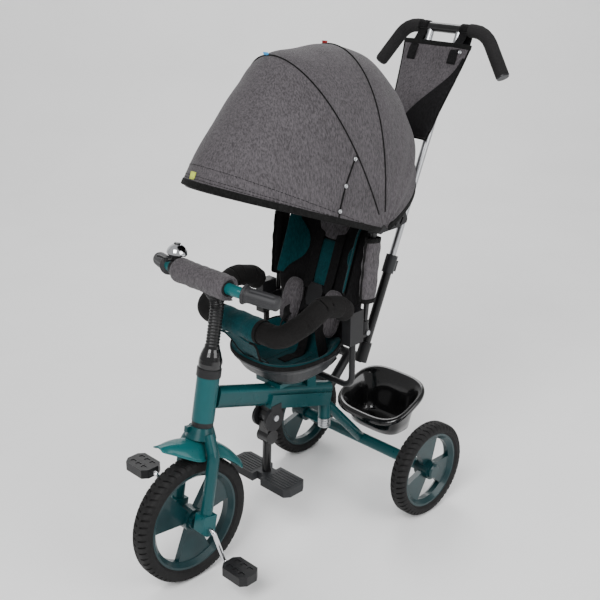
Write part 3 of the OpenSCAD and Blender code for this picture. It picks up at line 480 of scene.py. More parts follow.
def puffed(made, cap, voxel=0.005, pressure=4.0, frames=20):
    """Fills a padded piece by cloth simulation, letting no point move further than cap."""
    modify(made, "REMESH", mode="VOXEL", voxel_size=voxel)
    rest = [v.co.copy() for v in made.data.vertices]
    cloth = made.modifiers.new("Fill", "CLOTH")
    cloth.settings.quality = 5
    cloth.settings.use_pressure = True
    cloth.settings.uniform_pressure_force = pressure
    cloth.settings.effector_weights.gravity = 0
    cloth.settings.tension_stiffness = 12
    cloth.settings.compression_stiffness = 12
    cloth.settings.bending_stiffness = 0.6
    cloth.point_cache.frame_start = 1
    cloth.point_cache.frame_end = frames
    scene = bpy.context.scene
    for step in range(1, frames + 1):
        scene.frame_set(step)
    graph = bpy.context.evaluated_depsgraph_get()
    moved = bpy.data.meshes.new_from_object(made.evaluated_get(graph), depsgraph=graph)
    made.modifiers.clear()
    if len(moved.vertices) != len(rest):
        raise RuntimeError(f"{made.name}: the filled mesh changed its points")
    for v, home in zip(moved.vertices, rest):
        step = v.co - home
        if step.length > cap:
            step = step.normalized() * cap
        v.co = home + step
    old = made.data
    made.data = moved
    bpy.data.meshes.remove(old)
    scene.frame_set(1)
    modify(made, "SMOOTH", factor=0.5, iterations=2)
    return modify(made, "SUBSURF", levels=1, render_levels=1)


def mirrored(path):
    """The same path on the tricycle's other side."""
    return [Vector((-p.x, p.y, p.z)) for p in path]


def round_ring(centre, half_x, half_y, u, v, power=3.0, count=48):
    """A rounded-square ring about a centre in the plane of u and v."""
    ring = []
    for i in range(count):
        t = 2 * math.pi * i / count
        c, s = math.cos(t), math.sin(t)
        ring.append(centre + u * (half_x * math.copysign(abs(c) ** (2 / power), c))
                    + v * (half_y * math.copysign(abs(s) ** (2 / power), s)))
    return ring


def finish_piece(made, body, slot, *nodes):
    """Rides on a body and stands for its CAD nodes, hiding them. The slot argument is not used."""
    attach(made, body)
    if nodes:
        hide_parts(*nodes)
    return made


def wrinkled(made, size, depth, seed=0):
    """Moves points along their normals by soft noise."""
    offset = Vector((seed * 7.3, seed * 3.1, seed * 1.7))
    made.data.update()
    moves = [v.normal * noise.noise(v.co / size + offset) * depth for v in made.data.vertices]
    for v, move in zip(made.data.vertices, moves):
        v.co += move
    made.data.update()
    return made


X_AXIS, Y_AXIS, Z_AXIS = Vector((1, 0, 0)), Vector((0, 1, 0)), Vector((0, 0, 1))


def millimetres(x, y, z, origin, u, v, w):
    """A point at x, y and z millimetres along three directions from an origin."""
    return origin + u * (x / 1000) + v * (y / 1000) + w * (z / 1000)


def steered(x, y, z):
    """A point in the frame of the fork: +Z up its steering axis, from the front hub."""
    return millimetres(x, y, z, HUB, X_AXIS, STEER_LEAN.cross(X_AXIS), STEER_LEAN)


BACK_LEAN = math.radians(20)
BACK_UP = Vector((0, math.sin(BACK_LEAN), math.cos(BACK_LEAN)))
BACK_OUT = Vector((0, math.cos(BACK_LEAN), -math.sin(BACK_LEAN)))
BACK_FOOT = spot(0, -186, 464)


def at_back(x, y, z):
    """A point in the backrest's frame: +Z up its slope and +Y to the rear."""
    return millimetres(x, y, z, BACK_FOOT, X_AXIS, BACK_OUT, BACK_UP)


def fade(value, low, high):
    """0 below low, 1 above high, and smooth between."""
    t = max(0.0, min(1.0, (value - low) / (high - low)))
    return t * t * (3 - 2 * t)


def pillow(name, centre, u, v, w, size, look, power=3.2, rows=28, count=44):
    """A stuffed pad: rounded-square rings along w that close smoothly at both ends."""
    rings = []
    for i in range(1, rows):
        angle = math.pi * i / rows
        along = -math.cos(angle)
        share = math.sin(angle)
        grown = share ** (2 / power)
        height = math.copysign(abs(along) ** (2 / power), along)
        rings.append(round_ring(centre + w * (height * size[2] / 2), grown * size[0] / 2,
                                grown * size[1] / 2, u, v, power, count))
    return loft(name, rings, look)


def ribbon(name, path, across, half_width, half_thickness, look):
    """Flat webbing along a path. across is one direction or one for each point."""
    rings = []
    for i, p in enumerate(path):
        ahead = (path[min(i + 1, len(path) - 1)] - path[max(i - 1, 0)]).normalized()
        side = across[i] if isinstance(across, list) else across
        side = (side - ahead * side.dot(ahead)).normalized()
        up = ahead.cross(side)
        half = half_width[i] if isinstance(half_width, list) else half_width
        rings.append(round_ring(p, half, half_thickness, side, up, 6, 20))
    return loft(name, rings, look)


# ------------------------------------------------------------------ finishes of the hard pieces
LOOKS = {
    "enamel": ["main_frame", "fork", "fork_ends"],
    "bar_enamel": ["handlebar"],
    "wheel": ["front_rim", "left_rear_rim", "right_rear_rim", "left_hub_cap", "right_hub_cap",
              "clutch_knob"],
    "black": ["head_bushes", "bell_base", "bell_lever", "left_pedal", "right_pedal", "side_blocks",
              "footrest_bracket", "seat_frame", "socket_base", "canopy_brackets", "front_bow",
              "middle_bow", "rear_bow", "buckle"],
    "gloss_black": ["stem_cap", "cap_lever"],
    "satin_metal": ["posts", "push_crossbar", "footrest_stem", "leg_sockets", "stem"],
    "dark_cap": ["seat_pan", "socket_clips", "grip_plugs"],
    "grip_rubber": ["handlebar_grips"],
    "ribbed_rubber": ["bellows"],
    "pad_rubber": ["footrest_pads"],
    "chrome": ["crank", "bell_dome"],
    "steel": ["rear_axle", "safety_bar", "fasteners", "post_spring"],
    "silver": ["push_legs"],
    "foam": ["push_grips"],
}


def dress_frame():
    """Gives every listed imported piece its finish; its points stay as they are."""
    for look, nodes in LOOKS.items():
        for node in nodes:
            made = frame["nodes"][node]
            made.data.materials.clear()
            made.data.materials.append(finish(look))


# ------------------------------------------------------------------ wheels
BLOCK_STEPS = ((0.0, 0), (0.05, 1), (0.22, 1), (0.27, 0), (0.62, 0))
TREAD_DEPTH = 3.0


def tyre_profile(outer, seat, half):
    """Half width and radius pairs from one seat edge over the tread to the other."""
    side = [(half - 5, seat), (half - 0.5, seat + 5), (half, seat + 9), (half, outer - 14)]
    shoulder = [(half - 0.6, outer - 9), (half - 2.2, outer - 5), (half - 5, outer - 2.2)]
    crown = [(half * share, outer - 1.6 * share ** 2) for share in (0.62, 0.5, 0.36, 0.22, 0.16, 0.06)]
    right = side + shoulder + crown
    return right + [(-x, r) for x, r in reversed(right)]


def tread_here(x, half):
    """How deep a cross groove is at a distance from the middle, from 0 to 1."""
    share = abs(x) / half
    return 1.0 if 0.2 < share < 0.97 else 0.0


def tyre(node, body, blocks):
    """A foam tyre with slanted tread blocks and a centre rib."""
    low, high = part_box(node)
    centre = (low + high) / 2
    outer = (high.z - low.z) / 2 * 1000
    half = (high.x - low.x) / 2 * 1000
    seat = outer - (29 if "front" in node else 24)
    profile = tyre_profile(outer, seat, half)
    rings = []
    for block in range(blocks):
        for share, groove in BLOCK_STEPS:
            ring = []
            for x, r in profile:
                slant = 0.55 * abs(x) / half
                turn = 2 * math.pi * (block + share + slant) / blocks
                tread = r > outer - 10
                deep = TREAD_DEPTH * groove * tread_here(x, half) if tread else 0
                r -= deep
                ring.append(centre + Vector((x, r * math.sin(turn), r * math.cos(turn))) / 1000)
            rings.append(ring)
    rings.append([p.copy() for p in rings[0]])
    made = loft(node + "_tread", rings, "tyre", capped=False)
    shape = bmesh.new()
    shape.from_mesh(made.data)
    bmesh.ops.remove_doubles(shape, verts=shape.verts, dist=0.00001)
    bmesh.ops.recalc_face_normals(shape, faces=shape.faces)
    shape.to_mesh(made.data)
    shape.free()
    made.data.set_sharp_from_angle(angle=math.radians(32))
    return finish_piece(made, body, "tyre", node)


def fender_shape(f):
    """Angle, radius, half width and side drop of the mudguard at f, from 1 in front to -1."""
    if f > 0:
        return (32 * f, 184 + 34 * f ** 1.6,
                30 + 14 * math.sin(math.pi * min(1, 1.15 * f)) - 16 * f ** 4,
                30 * (1 - f) ** 0.6 + 5 + 6 * math.sin(math.pi * f))
    return (47 * f, 184 - 20 * math.sin(math.pi / 2 * -f),
            29 + 4 * math.sin(math.pi * -f) - 3 * f * f, 30 + 18 * f)


def fender_point(f, t, inset=0.0):
    """A point of the mudguard: t across it from -1 to 1, inset millimetres inside its skin."""
    angle, radius, half, drop = fender_shape(f)
    angle = math.radians(angle)
    reach = radius - inset - drop * abs(t) ** 2.6
    return steered((half - inset) * t, -reach * math.sin(angle), reach * math.cos(angle))


def mudguard():
    """The front mudguard: a pressed shell with a rolled edge."""
    steps = [1 - i / 36 for i in range(73)]
    across = [-1 + j / 16 for j in range(33)]
    outer = [[fender_point(f, t) for t in across] for f in steps]
    inner = [[fender_point(f, t, 2.6) for t in reversed(across)] for f in steps]
    made = loft("mudguard", [a + b for a, b in zip(outer, inner)], "bar_enamel")
    edge = [fender_point(f, 1, 1) for f in steps] + [fender_point(f, -1, 1) for f in reversed(steps)]
    finish_piece(made, "fork", "teal_paint", "fender")
    rolled = cord("mudguard_edge", edge, 0.0019, "bar_enamel", 10)
    finish_piece(rolled, "fork", "teal_paint")
    return made


# ------------------------------------------------------------------ canopy
CANOPY_LINES = ((20, 394), (28, 385), (43, 374), (56, 381), (66, 394), (78, 376), (91, 366),
                (104, 348), (120, 314), (136, 282), (152, 252), (164, 236))
FRONT_BOW, MIDDLE_BOW, REAR_BOW, CANOPY_END = 20, 66, 91, 164
CANOPY_HALF = 164


def canopy_reach(angle):
    """How far the canopy reaches from its pivot at an angle, smooth between its lines."""
    points = [Vector((a, r, 0)) for a, r in CANOPY_LINES]
    line = curve_through(points, 12)
    for a, b in zip(line, line[1:]):
        if a.x <= angle <= b.x:
            return a.y + (b.y - a.y) * (angle - a.x) / max(1e-6, b.x - a.x)
    return line[-1].y if angle > line[-1].x else line[0].y


REACHES = {}


def canopy_point(angle, turn, lift=0.0):
    """A point of the canopy: angle round the pivot, turn from 0 to 180 across the arch."""
    key = round(angle * 8)
    if key not in REACHES:
        REACHES[key] = canopy_reach(key / 8)
    share = abs(math.sin(math.radians(turn))) ** 0.75
    less = 30 * (max(0, angle - REAR_BOW) / 75) ** 1.2
    x = -(CANOPY_HALF - less * share + lift) * math.cos(math.radians(turn))
    reach = 14 + (REACHES[key] - 14) * share + lift * share
    lean = math.radians(angle)
    pucker = pucker_at(angle, turn)
    reach += pucker
    return PIVOT + Vector((x + 0.6 * pucker * math.copysign(1, x), -reach * math.cos(lean),
                           reach * math.sin(lean))) / 1000


def pucker_at(angle, turn):
    """Small folds of the cloth, deepest near the pivots and fading at the bows."""
    side = abs(math.cos(math.radians(turn)))
    slack = min(1.0, min(abs(angle - bow) for bow in (FRONT_BOW, MIDDLE_BOW, REAR_BOW, CANOPY_END)) / 9)
    drift = noise.noise(Vector((angle / 11, turn / 34, 2.0)))
    fan = math.sin(math.radians(angle * 19 + 60 * drift)) * fade(side, 0.45, 0.95)
    return slack * (2.6 * drift + 1.5 * fan)


def fold_with_bows(made):
    """The cloth turns with the bows: none of it behind the rear bow, all of it at the front."""
    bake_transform(made, "frame", "front_bow", canopy_point(REAR_BOW, 90), canopy_point(FRONT_BOW, 90))
    weights = made.data.attributes["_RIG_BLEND"]
    for v in made.data.vertices:
        away = v.co - PIVOT
        angle = math.degrees(math.atan2(away.z, -away.y)) % 360
        if angle > 300:
            angle = FRONT_BOW
        if angle >= MIDDLE_BOW:
            share = 0.36 * max(0.0, REAR_BOW - angle) / (REAR_BOW - MIDDLE_BOW)
        else:
            share = 0.36 + 0.64 * (MIDDLE_BOW - angle) / (MIDDLE_BOW - FRONT_BOW)
        weights.data[v.index].value = min(1.0, share)
    return made


def canopy_tape(name, points, wide, half_wide, half_thick, look):
    """Binding folded over a line of the canopy."""
    rings = []
    for i, p in enumerate(points):
        ahead = (points[min(i + 1, len(points) - 1)] - points[max(i - 1, 0)]).normalized()
        side = (wide[i] - ahead * wide[i].dot(ahead)).normalized()
        rings.append(round_ring(p, half_wide, half_thick, side, ahead.cross(side), 3, 14))
    return loft(name, rings, look)


def canopy_sheet():
    """The canopy's cloth: one curved sheet from the front bow to its lower back edge."""
    angles = [FRONT_BOW + (CANOPY_END - FRONT_BOW) * i / 144 for i in range(145)]
    turns = [180 * j / 120 for j in range(121)]
    rows = [[canopy_point(a, t) for t in turns] for a in angles]
    made = loft("canopy_cloth", rows, "grey_cloth", round_rings=False)
    width = max(sum((b - a).length for a, b in zip(row, row[1:])) for row in rows)
    length = sum((b[60] - a[60]).length for a, b in zip(rows, rows[1:]))
    area = sum(p.area for p in made.data.polygons)
    made.data.materials.append(finish("black_cloth"))
    face = made.data.polygons[len(made.data.polygons) // 2]
    if face.normal.dot(face.center - PIVOT) < 0:
        made.data.flip_normals()
    thick = made.modifiers.new("Lining", "SOLIDIFY")
    thick.thickness = sizes().cloth_thickness
    thick.offset = -1
    thick.material_offset = 1
    fold_with_bows(made)
    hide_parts("canopy")
    return made, (width, length), area


def vent_point(share, lift, beside=0.0):
    """A point on the side vent: share 0 at the front edge and 1 at the middle bow."""
    angle = FRONT_BOW + 1 + (MIDDLE_BOW - FRONT_BOW - 1) * share
    return canopy_point(angle, 166 - 7 * share + beside, lift)


def canopy_lines():
    """Bindings, seams, piping, vent, snaps and tags of the canopy."""
    turns = [180 * j / 90 for j in range(91)]
    pieces = []
    for name, angle, ahead in (("canopy_front_binding", FRONT_BOW, 0.9),
                               ("canopy_back_binding", CANOPY_END, -0.9)):
        line = [canopy_point(angle + ahead, t) for t in turns]
        wide = [canopy_point(angle + 2 * ahead, t) - canopy_point(angle, t) for t in turns]
        pieces.append(canopy_tape(name, line, wide, sizes().hem / 2, 0.0021, "binding"))
    for name, angle, lift in (("middle_piping", MIDDLE_BOW, 1.2), ("rear_piping", REAR_BOW, 1.0)):
        line = [canopy_point(angle, t, lift) for t in turns[1:-1]]
        pieces.append(cord("canopy_" + name, line, sizes().piping, "binding"))
    for name, angle in (("front_stitch", 22.4), ("front_stitch_two", 23.3), ("band_stitch", 26.4)):
        pieces.append(dashes("canopy_" + name, [canopy_point(angle, t, 0.4) for t in turns]))
    vent = [vent_point(i / 24, 0.8) for i in range(25)]
    pieces.append(cord("canopy_vent_left", vent, 0.0017, "binding"))
    other = mirrored(vent)
    pieces.append(cord("canopy_vent_right", other, 0.0017, "binding"))
    for made in pieces:
        fold_with_bows(made)
    return pieces + snaps_and_tags()


def dashes(name, path, gap=3, look="black_cloth"):
    """A row of stitches along a path."""
    points, faces = [], []
    fine = curve_through(path, 3)
    for start in range(0, len(fine) - 3, gap):
        rings = sections(fine[start:start + 3], 0.0005, 5)
        base = len(points)
        points += [p for ring in rings for p in ring]
        faces += [(base + i * 5 + j, base + i * 5 + (j + 1) % 5, base + (i + 1) * 5 + (j + 1) % 5,
                   base + (i + 1) * 5 + j) for i in range(2) for j in range(5)]
    return piece(name, points, faces, look)


def snap(name, centre, out, radius=0.0046):
    """A pressed metal snap with a dished cap."""
    side = out.orthogonal().normalized()
    other = out.cross(side)
    shape = ((1.0, 0.0), (1.0, 0.0008), (0.86, 0.0018), (0.6, 0.0019), (0.5, 0.0013), (0.1, 0.0013))
    rings = [[centre + out * h + (side * math.cos(a) + other * math.sin(a)) * radius * r
              for a in circle(20)] for r, h in shape]
    return loft(name, rings, "silver")


def snaps_and_tags():
    made = []
    for side, flip in (("left", 1), ("right", -1)):
        for i, s in enumerate((0.16, 0.56, 0.94)):
            p = vent_point(s, 1.2)
            near = vent_point(s + 0.05, 1.2)
            beside = vent_point(s, 1.2, -2.0)
            out = (near - p).cross(beside - p).normalized()
            if out.dot(p - PIVOT) < 0 or out.x < 0:
                out = -out
            place = Vector((p.x * flip, p.y, p.z))
            made.append(snap(f"canopy_snap_{side}_{i}", place, Vector((out.x * flip, out.y, out.z))))
    for name, angle, look in (("hem", FRONT_BOW + 3.5, "lime"), ("middle", MIDDLE_BOW, "blue"),
                              ("rear", REAR_BOW, "red")):
        foot = canopy_point(angle, 84)
        up = (foot - PIVOT).normalized()
        path = [foot, foot + up * 0.007]
        if name == "hem":
            path = [foot + Vector((0, 0.0, 0.006)), foot + Vector((0, -0.005, -0.008))]
        made.append(ribbon(f"canopy_tag_{name}", path, X_AXIS, 0.007, 0.0012, look))
    for one in made:
        fold_with_bows(one)
    return made


# ------------------------------------------------------------------ seat
SEAT_HALF_W, SEAT_HALF_L, SEAT_RIM = 114, 107, 54
SEAT_MIDDLE = spot(0, -262, 388)
LINER_RINGS = ((66, 8), (44, 12), (27, 30), (16, 44), (11, 53), (3, 57), (0, 60), (1, 64), (6, 67),
               (13, 65), (20, 58), (27, 47), (36, 37), (50, 31), (68, 30), (90, 31), (104, 31.5))


def seat_rise(p):
    """How much the liner's edge rises: up at its sides and most at its rear corners."""
    back = fade(p.y / (SEAT_HALF_L / 1000), 0.1, 1.0)
    side = abs(p.x) / (SEAT_HALF_W / 1000)
    return 0.001 * (9 * side ** 2 + 34 * back * side ** 1.5)


def liner_ring(grow, height):
    ring = round_ring(Vector((0, 0, 0)), (SEAT_HALF_W - grow) / 1000, (SEAT_HALF_L - grow) / 1000,
                      X_AXIS, Y_AXIS, 2.8, 96)
    share = max(0.0, (height - 20) / SEAT_RIM) * fade(SEAT_HALF_L - grow, 40, 90)
    return [SEAT_MIDDLE + p + Vector((0, 0, height / 1000 + share * seat_rise(p))) for p in ring]


def seat_liner():
    """The dished seat cushion with quilted seams and a bound rim."""
    made = loft("seat_liner", [liner_ring(g, h) for g, h in LINER_RINGS], "teal_cloth")
    modify(made, "SUBSURF", levels=1, render_levels=1)
    wrinkled(made, 0.035, 0.0016, 3)
    finish_piece(made, "frame", "teal_fabric", "seat_cushion")
    rim = liner_ring(-0.5, 61)
    rim.append(rim[0].copy())
    bound = ribbon("seat_rim_binding", rim, Z_AXIS, 0.0048, 0.0016, "binding")
    finish_piece(bound, "frame", "black_fabric")
    for i, (grow, height) in enumerate(((22, 56.4), (46, 33.6))):
        line = liner_ring(grow, height)
        line.append(line[0].copy())
        seam = cord(f"seat_seam_{i}", line, 0.0010, "teal_cloth", 6)
        finish_piece(seam, "frame", "teal_fabric")
    for x in (-30, 30):
        path = [SEAT_MIDDLE + Vector((x, y, 31.9)) / 1000 for y in range(-50, 51, 10)]
        groove = dashes(f"seat_quilt_{'right' if x < 0 else 'left'}", path)
        finish_piece(groove, "frame", "teal_fabric")
    return made


# ------------------------------------------------------------------ backrest
BACK_HALF, BACK_H = 118, 310


def back_front(x, z):
    """The backrest's padded front, in millimetres, at a place across and up it."""
    wing = fade(abs(x), 66, 104) * fade(z, 40, 110) * (1 - 0.75 * fade(z, 235, 305))
    return -5 - 40 * wing + 3.0 * (abs(x) / BACK_HALF) ** 2


def back_ring(z):
    """One level section of the backrest."""
    end = min(1.0, (1 - abs(2 * z / BACK_H - 1) ** 7) ** 0.34 + 1e-4)
    half = (BACK_HALF - 12 * fade(z, 200, 310) - 8 * fade(-z, -70, 0)) * (0.55 + 0.45 * end)
    front, rear = [], []
    for i in range(49):
        u = -1 + i / 24
        x = half * math.sin(u * math.pi / 2)
        thick = (1 - abs(math.sin(u * math.pi / 2)) ** 5) ** 0.5
        near = back_front(x, z)
        far = 44 - 14 * (abs(x) / BACK_HALF) ** 3 - 8 * fade(z, 200, 310)
        middle = (near + far) / 2
        front.append(at_back(x, middle + (near - middle) * thick * end, z))
        rear.append(at_back(x, middle + (far - middle) * thick * end, z))
    return front + rear[-2:0:-1]


def pillow_edge(t):
    """How far a patch has risen at t across it, 0 at both edges and 1 over its middle."""
    return min(1.0, (4 * t * (1 - t)) ** 0.35)


def patch(name, look, across, up, lift, count=28):
    """A panel sewn on the backrest: across gives its edges at a height, lift its puff."""
    rows = []
    low, high = up
    for i in range(count + 1):
        z = low + (high - low) * i / count
        a, b = across(z)
        row = []
        for j in range(count + 1):
            u = j / count
            edge = pillow_edge(u) * pillow_edge(i / count)
            x = a + (b - a) * u
            row.append(at_back(x, back_front(x, z) - 0.4 - lift * edge, z))
        rows.append(row)
    made = loft(name, rows, look, round_rings=False)
    modify(made, "SOLIDIFY", thickness=0.002, offset=0)
    return made, rows


def edge_line(rows):
    """The outline of a panel."""
    return (rows[0] + [row[-1] for row in rows[1:]] + rows[-1][-2::-1]
            + [row[0] for row in rows[-2:0:-1]])


def backrest_pad():
    """The backrest: shell, centre strip, head patch, wing panels and their bindings."""
    heights = [BACK_H * (1 - math.cos(math.pi * i / 64)) / 2 for i in range(65)]
    made = loft("backrest_pad", [back_ring(z) for z in heights], "black_cloth")
    wrinkled(made, 0.05, 0.0014, 5)
    finish_piece(made, "frame", "black_fabric", "backrest")
    panels = (
        ("back_strip", "teal_cloth", strip_edges, (24, 212), 4.0),
        ("head_patch", "grey_cloth", head_edges, (214.5, 295.5), 6.0),
        ("left_wing_panel", "teal_cloth", wing_edges, (112, 262), 2.5),
        ("right_wing_panel", "teal_cloth", lambda z: tuple(-x for x in reversed(wing_edges(z))),
         (112, 262), 2.5),
    )
    for name, look, across, up, lift in panels:
        panel, rows = patch(name, look, across, up, lift)
        finish_piece(panel, "frame", "grey_fabric" if look == "grey_cloth" else "teal_fabric")
        outline = edge_line(rows)
        outline.append(outline[0].copy())
        bead = cord(name + "_piping", outline, sizes().piping, "binding", 6)
        finish_piece(bead, "frame", "black_fabric")
    return made


def strip_edges(z):
    """The centre strip is widest under the head patch."""
    half = 13 + 23 * fade(z, 70, 200)
    return (-half, half)


def wing_edges(z):
    """The wing panel's inner edge swings in at its middle height."""
    return (92 - 34 * math.sin(math.pi * fade(z, 100, 275)) ** 1.3, 103)


def head_edges(z):
    half = 44 * max(0.002, 1 - ((z - 255) / 41) ** 2) ** 0.5
    return (-half, half)


def bolsters():
    """Two grey side bolsters with a seam round each."""
    for name, x in (("left", 60), ("right", -60)):
        centre = at_back(x, -17.5, 56)
        made = pillow(name + "_bolster", centre, X_AXIS, BACK_OUT, BACK_UP, (0.052, 0.034, 0.106),
                      "grey_cloth", 3.0)
        puffed(made, sizes().puff)
        finish_piece(made, "frame", "grey_fabric", *(["back_bolsters"] if x > 0 else []))
        seam = round_ring(centre, 0.0262, 0.0515, X_AXIS, BACK_UP, 3.2, 60)
        seam.append(seam[0].copy())
        finish_piece(cord(name + "_bolster_seam", seam, 0.0013, "grey_cloth", 6), "frame", "grey_fabric")


def harness_straps():
    """Shoulder and lap webbing that meets at the buckle and lies down on the seat."""
    for name, side in (("left", 1), ("right", -1)):
        shoulder = curve_through([at_back(side * 30, back_front(30, z) - lift, z) for z, lift in
                                  ((232, -2), (226, 4.5), (190, 6.2), (150, 6), (118, 7), (94, 11))], 6)
        made = ribbon(name + "_shoulder_strap", shoulder, X_AXIS, 0.0125, 0.0010, "webbing")
        finish_piece(made, "frame", "black_fabric", *(["harness"] if side > 0 else []))
        lap = curve_through([at_back(side * 12, -12, 72), at_back(side * 34, -14, 50),
                             at_back(side * 52, -36, 26), SEAT_MIDDLE + Vector((side * 78, 44, 40)) / 1000,
                             SEAT_MIDDLE + Vector((side * 84, 70, 46)) / 1000], 6)
        finish_piece(ribbon(name + "_lap_strap", lap, Vector((0, 0.5, 1)), 0.011, 0.0010, "webbing"),
                     "frame", "black_fabric")
    on_seat = [SEAT_MIDDLE + Vector((0, y, z)) / 1000 for y, z in ((46, 37), (14, 34), (-14, 33.5))]
    crotch = curve_through([at_back(0, -13, 66), at_back(0, -18, 30)] + on_seat, 6)
    finish_piece(ribbon("crotch_strap", crotch, X_AXIS, 0.0125, 0.0010, "webbing"), "frame", "black_fabric")


# ------------------------------------------------------------------ posts and bars
POST_HEAD, POST_FOOT = spot(137, -134, 726), spot(135, -156, 504)


def post_wraps():
    """Padded wraps on the two canopy posts, with bound front edges and ends; the right wrap's black cloth is
    painted shade on the far sleeve.
    """
    # black cloth on the right wrap is painted shade: the far sleeve's shaded inner side
    for name, flip, look in (("left", 1, "grey_cloth"), ("right", -1, "black_cloth")):
        head = Vector((POST_HEAD.x * flip, POST_HEAD.y, POST_HEAD.z))
        foot = Vector((POST_FOOT.x * flip, POST_FOOT.y, POST_FOOT.z))
        up = (head - foot).normalized()
        start, end = foot + up * 0.0645, head - up * 0.0245
        out = Vector((flip, 0, 0))
        ahead = up.cross(out).normalized()
        if ahead.y > 0:
            ahead = -ahead
        rings = []
        for i in range(41):
            s = i / 40
            swell = 1 + 0.05 * math.sin(7 * s * math.pi + 1) * math.sin(math.pi * s)
            tight = 0.86 + 0.14 * min(1, 6 * min(s, 1 - s))
            rings.append(round_ring(start.lerp(end, s), 0.0135 * swell * tight, 0.0215 * swell * tight,
                                    out, ahead, 2.6, 48))
        made = loft(name + "_post_wrap", rings, look)
        wrinkled(made, 0.022, 0.0014, 9 + flip)
        finish_piece(made, "frame", "grey_fabric", *(["post_sleeves"] if flip > 0 else []))
        for k, p in enumerate((rings[0], rings[-1])):
            loop = [q.copy() for q in p] + [p[0].copy()]
            finish_piece(ribbon(f"{name}_post_binding_{k}", loop, up, 0.005, 0.0011, "binding"),
                         "frame", "black_fabric")
        edge = [start.lerp(end, i / 30) + ahead * (0.0212 + 0.0005 * math.sin(i)) for i in range(31)]
        finish_piece(ribbon(name + "_post_edge", edge, ahead, 0.0042, 0.0014, "binding"), "frame",
                     "black_fabric")


def bar_line():
    """The safety bar's line in front of the child, from the left mouth to the right one."""
    half = [spot(135, -206, 550) + PLUG_SLOPE * 0.014, spot(135, -237.6, 577.7), spot(135, -286, 590),
            spot(136, -338, 570), spot(118, -392, 545)]
    return half, mirrored(half)


def safety_foam():
    """Thick foam on both arms of the safety bar, slightly dimpled."""
    left, right = bar_line()
    for name, half, stop in (("left", left, 0.061), ("right", right, -0.061)):
        path = rounded_corners(half + [Vector((stop, half[-1].y, half[-1].z))], 0.033, 8)
        dense = curve_through(path, 3)
        radius = [0.0236] * len(dense)
        radius[0] = radius[-1] = 0.021
        made = loft(name + "_safety_foam", sections(dense, radius, 36), "dark_cover")
        wrinkled(made, 0.02, 0.0010, 4)
        finish_piece(made, "safety_bar", "foam", *(["safety_foam"] if stop > 0 else []))


def safety_wrap():
    """The cloth wrap on the middle of the safety bar, its bindings and its hanging flap."""
    centre = spot(0, -392, 545)
    rings = []
    for i in range(49):
        s = -1 + i / 24
        swell = 0.0268 + 0.0008 * math.cos(s * 9) - 0.0012 * abs(s) ** 6
        rings.append([centre + Vector((0.0625 * s, swell * math.cos(a), swell * math.sin(a)))
                      for a in circle(48)])
    made = loft("safety_wrap", rings, "teal_cloth")
    wrinkled(made, 0.018, 0.0011, 6)
    finish_piece(made, "safety_bar", "teal_fabric", "safety_sleeve")
    for name, ring in (("right", rings[0]), ("left", rings[-1])):
        loop = [p + (p - centre).normalized() * 0.0003 for p in ring]
        loop.append(loop[0].copy())
        finish_piece(ribbon(name + "_wrap_binding", loop, X_AXIS, 0.0045, 0.0014, "binding"), "safety_bar",
                     "black_fabric")
    return crotch_flap(centre)


def crotch_flap(centre):
    """The flap that hangs from the safety bar's wrap towards the seat."""
    line = curve_through([centre + Vector((0, y, z)) / 1000 for y, z in
                          ((-18, -20), (-6, -28), (8, -48), (22, -72), (36, -88), (50, -96))], 6)
    rows, wide = [], []
    for i, p in enumerate(line):
        half = 44 - 17 * fade(i / (len(line) - 1), 0.1, 0.85)
        wide.append(half / 1000)
        rows.append([p + Vector((half * u / 1000, 0, -0.004 * u * u)) for u in
                     (-1 + j / 10 for j in range(21))])
    made = loft("safety_flap", rows, "teal_cloth", round_rings=False)
    wrinkled(made, 0.03, 0.002, 8)
    rows = [[made.data.vertices[i * 21 + j].co.copy() for j in range(21)] for i in range(len(rows))]
    modify(made, "SOLIDIFY", thickness=0.0022, offset=0)
    finish_piece(made, "safety_bar", "teal_fabric")
    edge = [row[0] for row in rows] + rows[-1][1:-1] + [row[-1] for row in reversed(rows)]
    bound = cord("safety_flap_binding", edge, 0.0024, "binding", 8)
    finish_piece(bound, "safety_bar", "black_fabric")
    return made


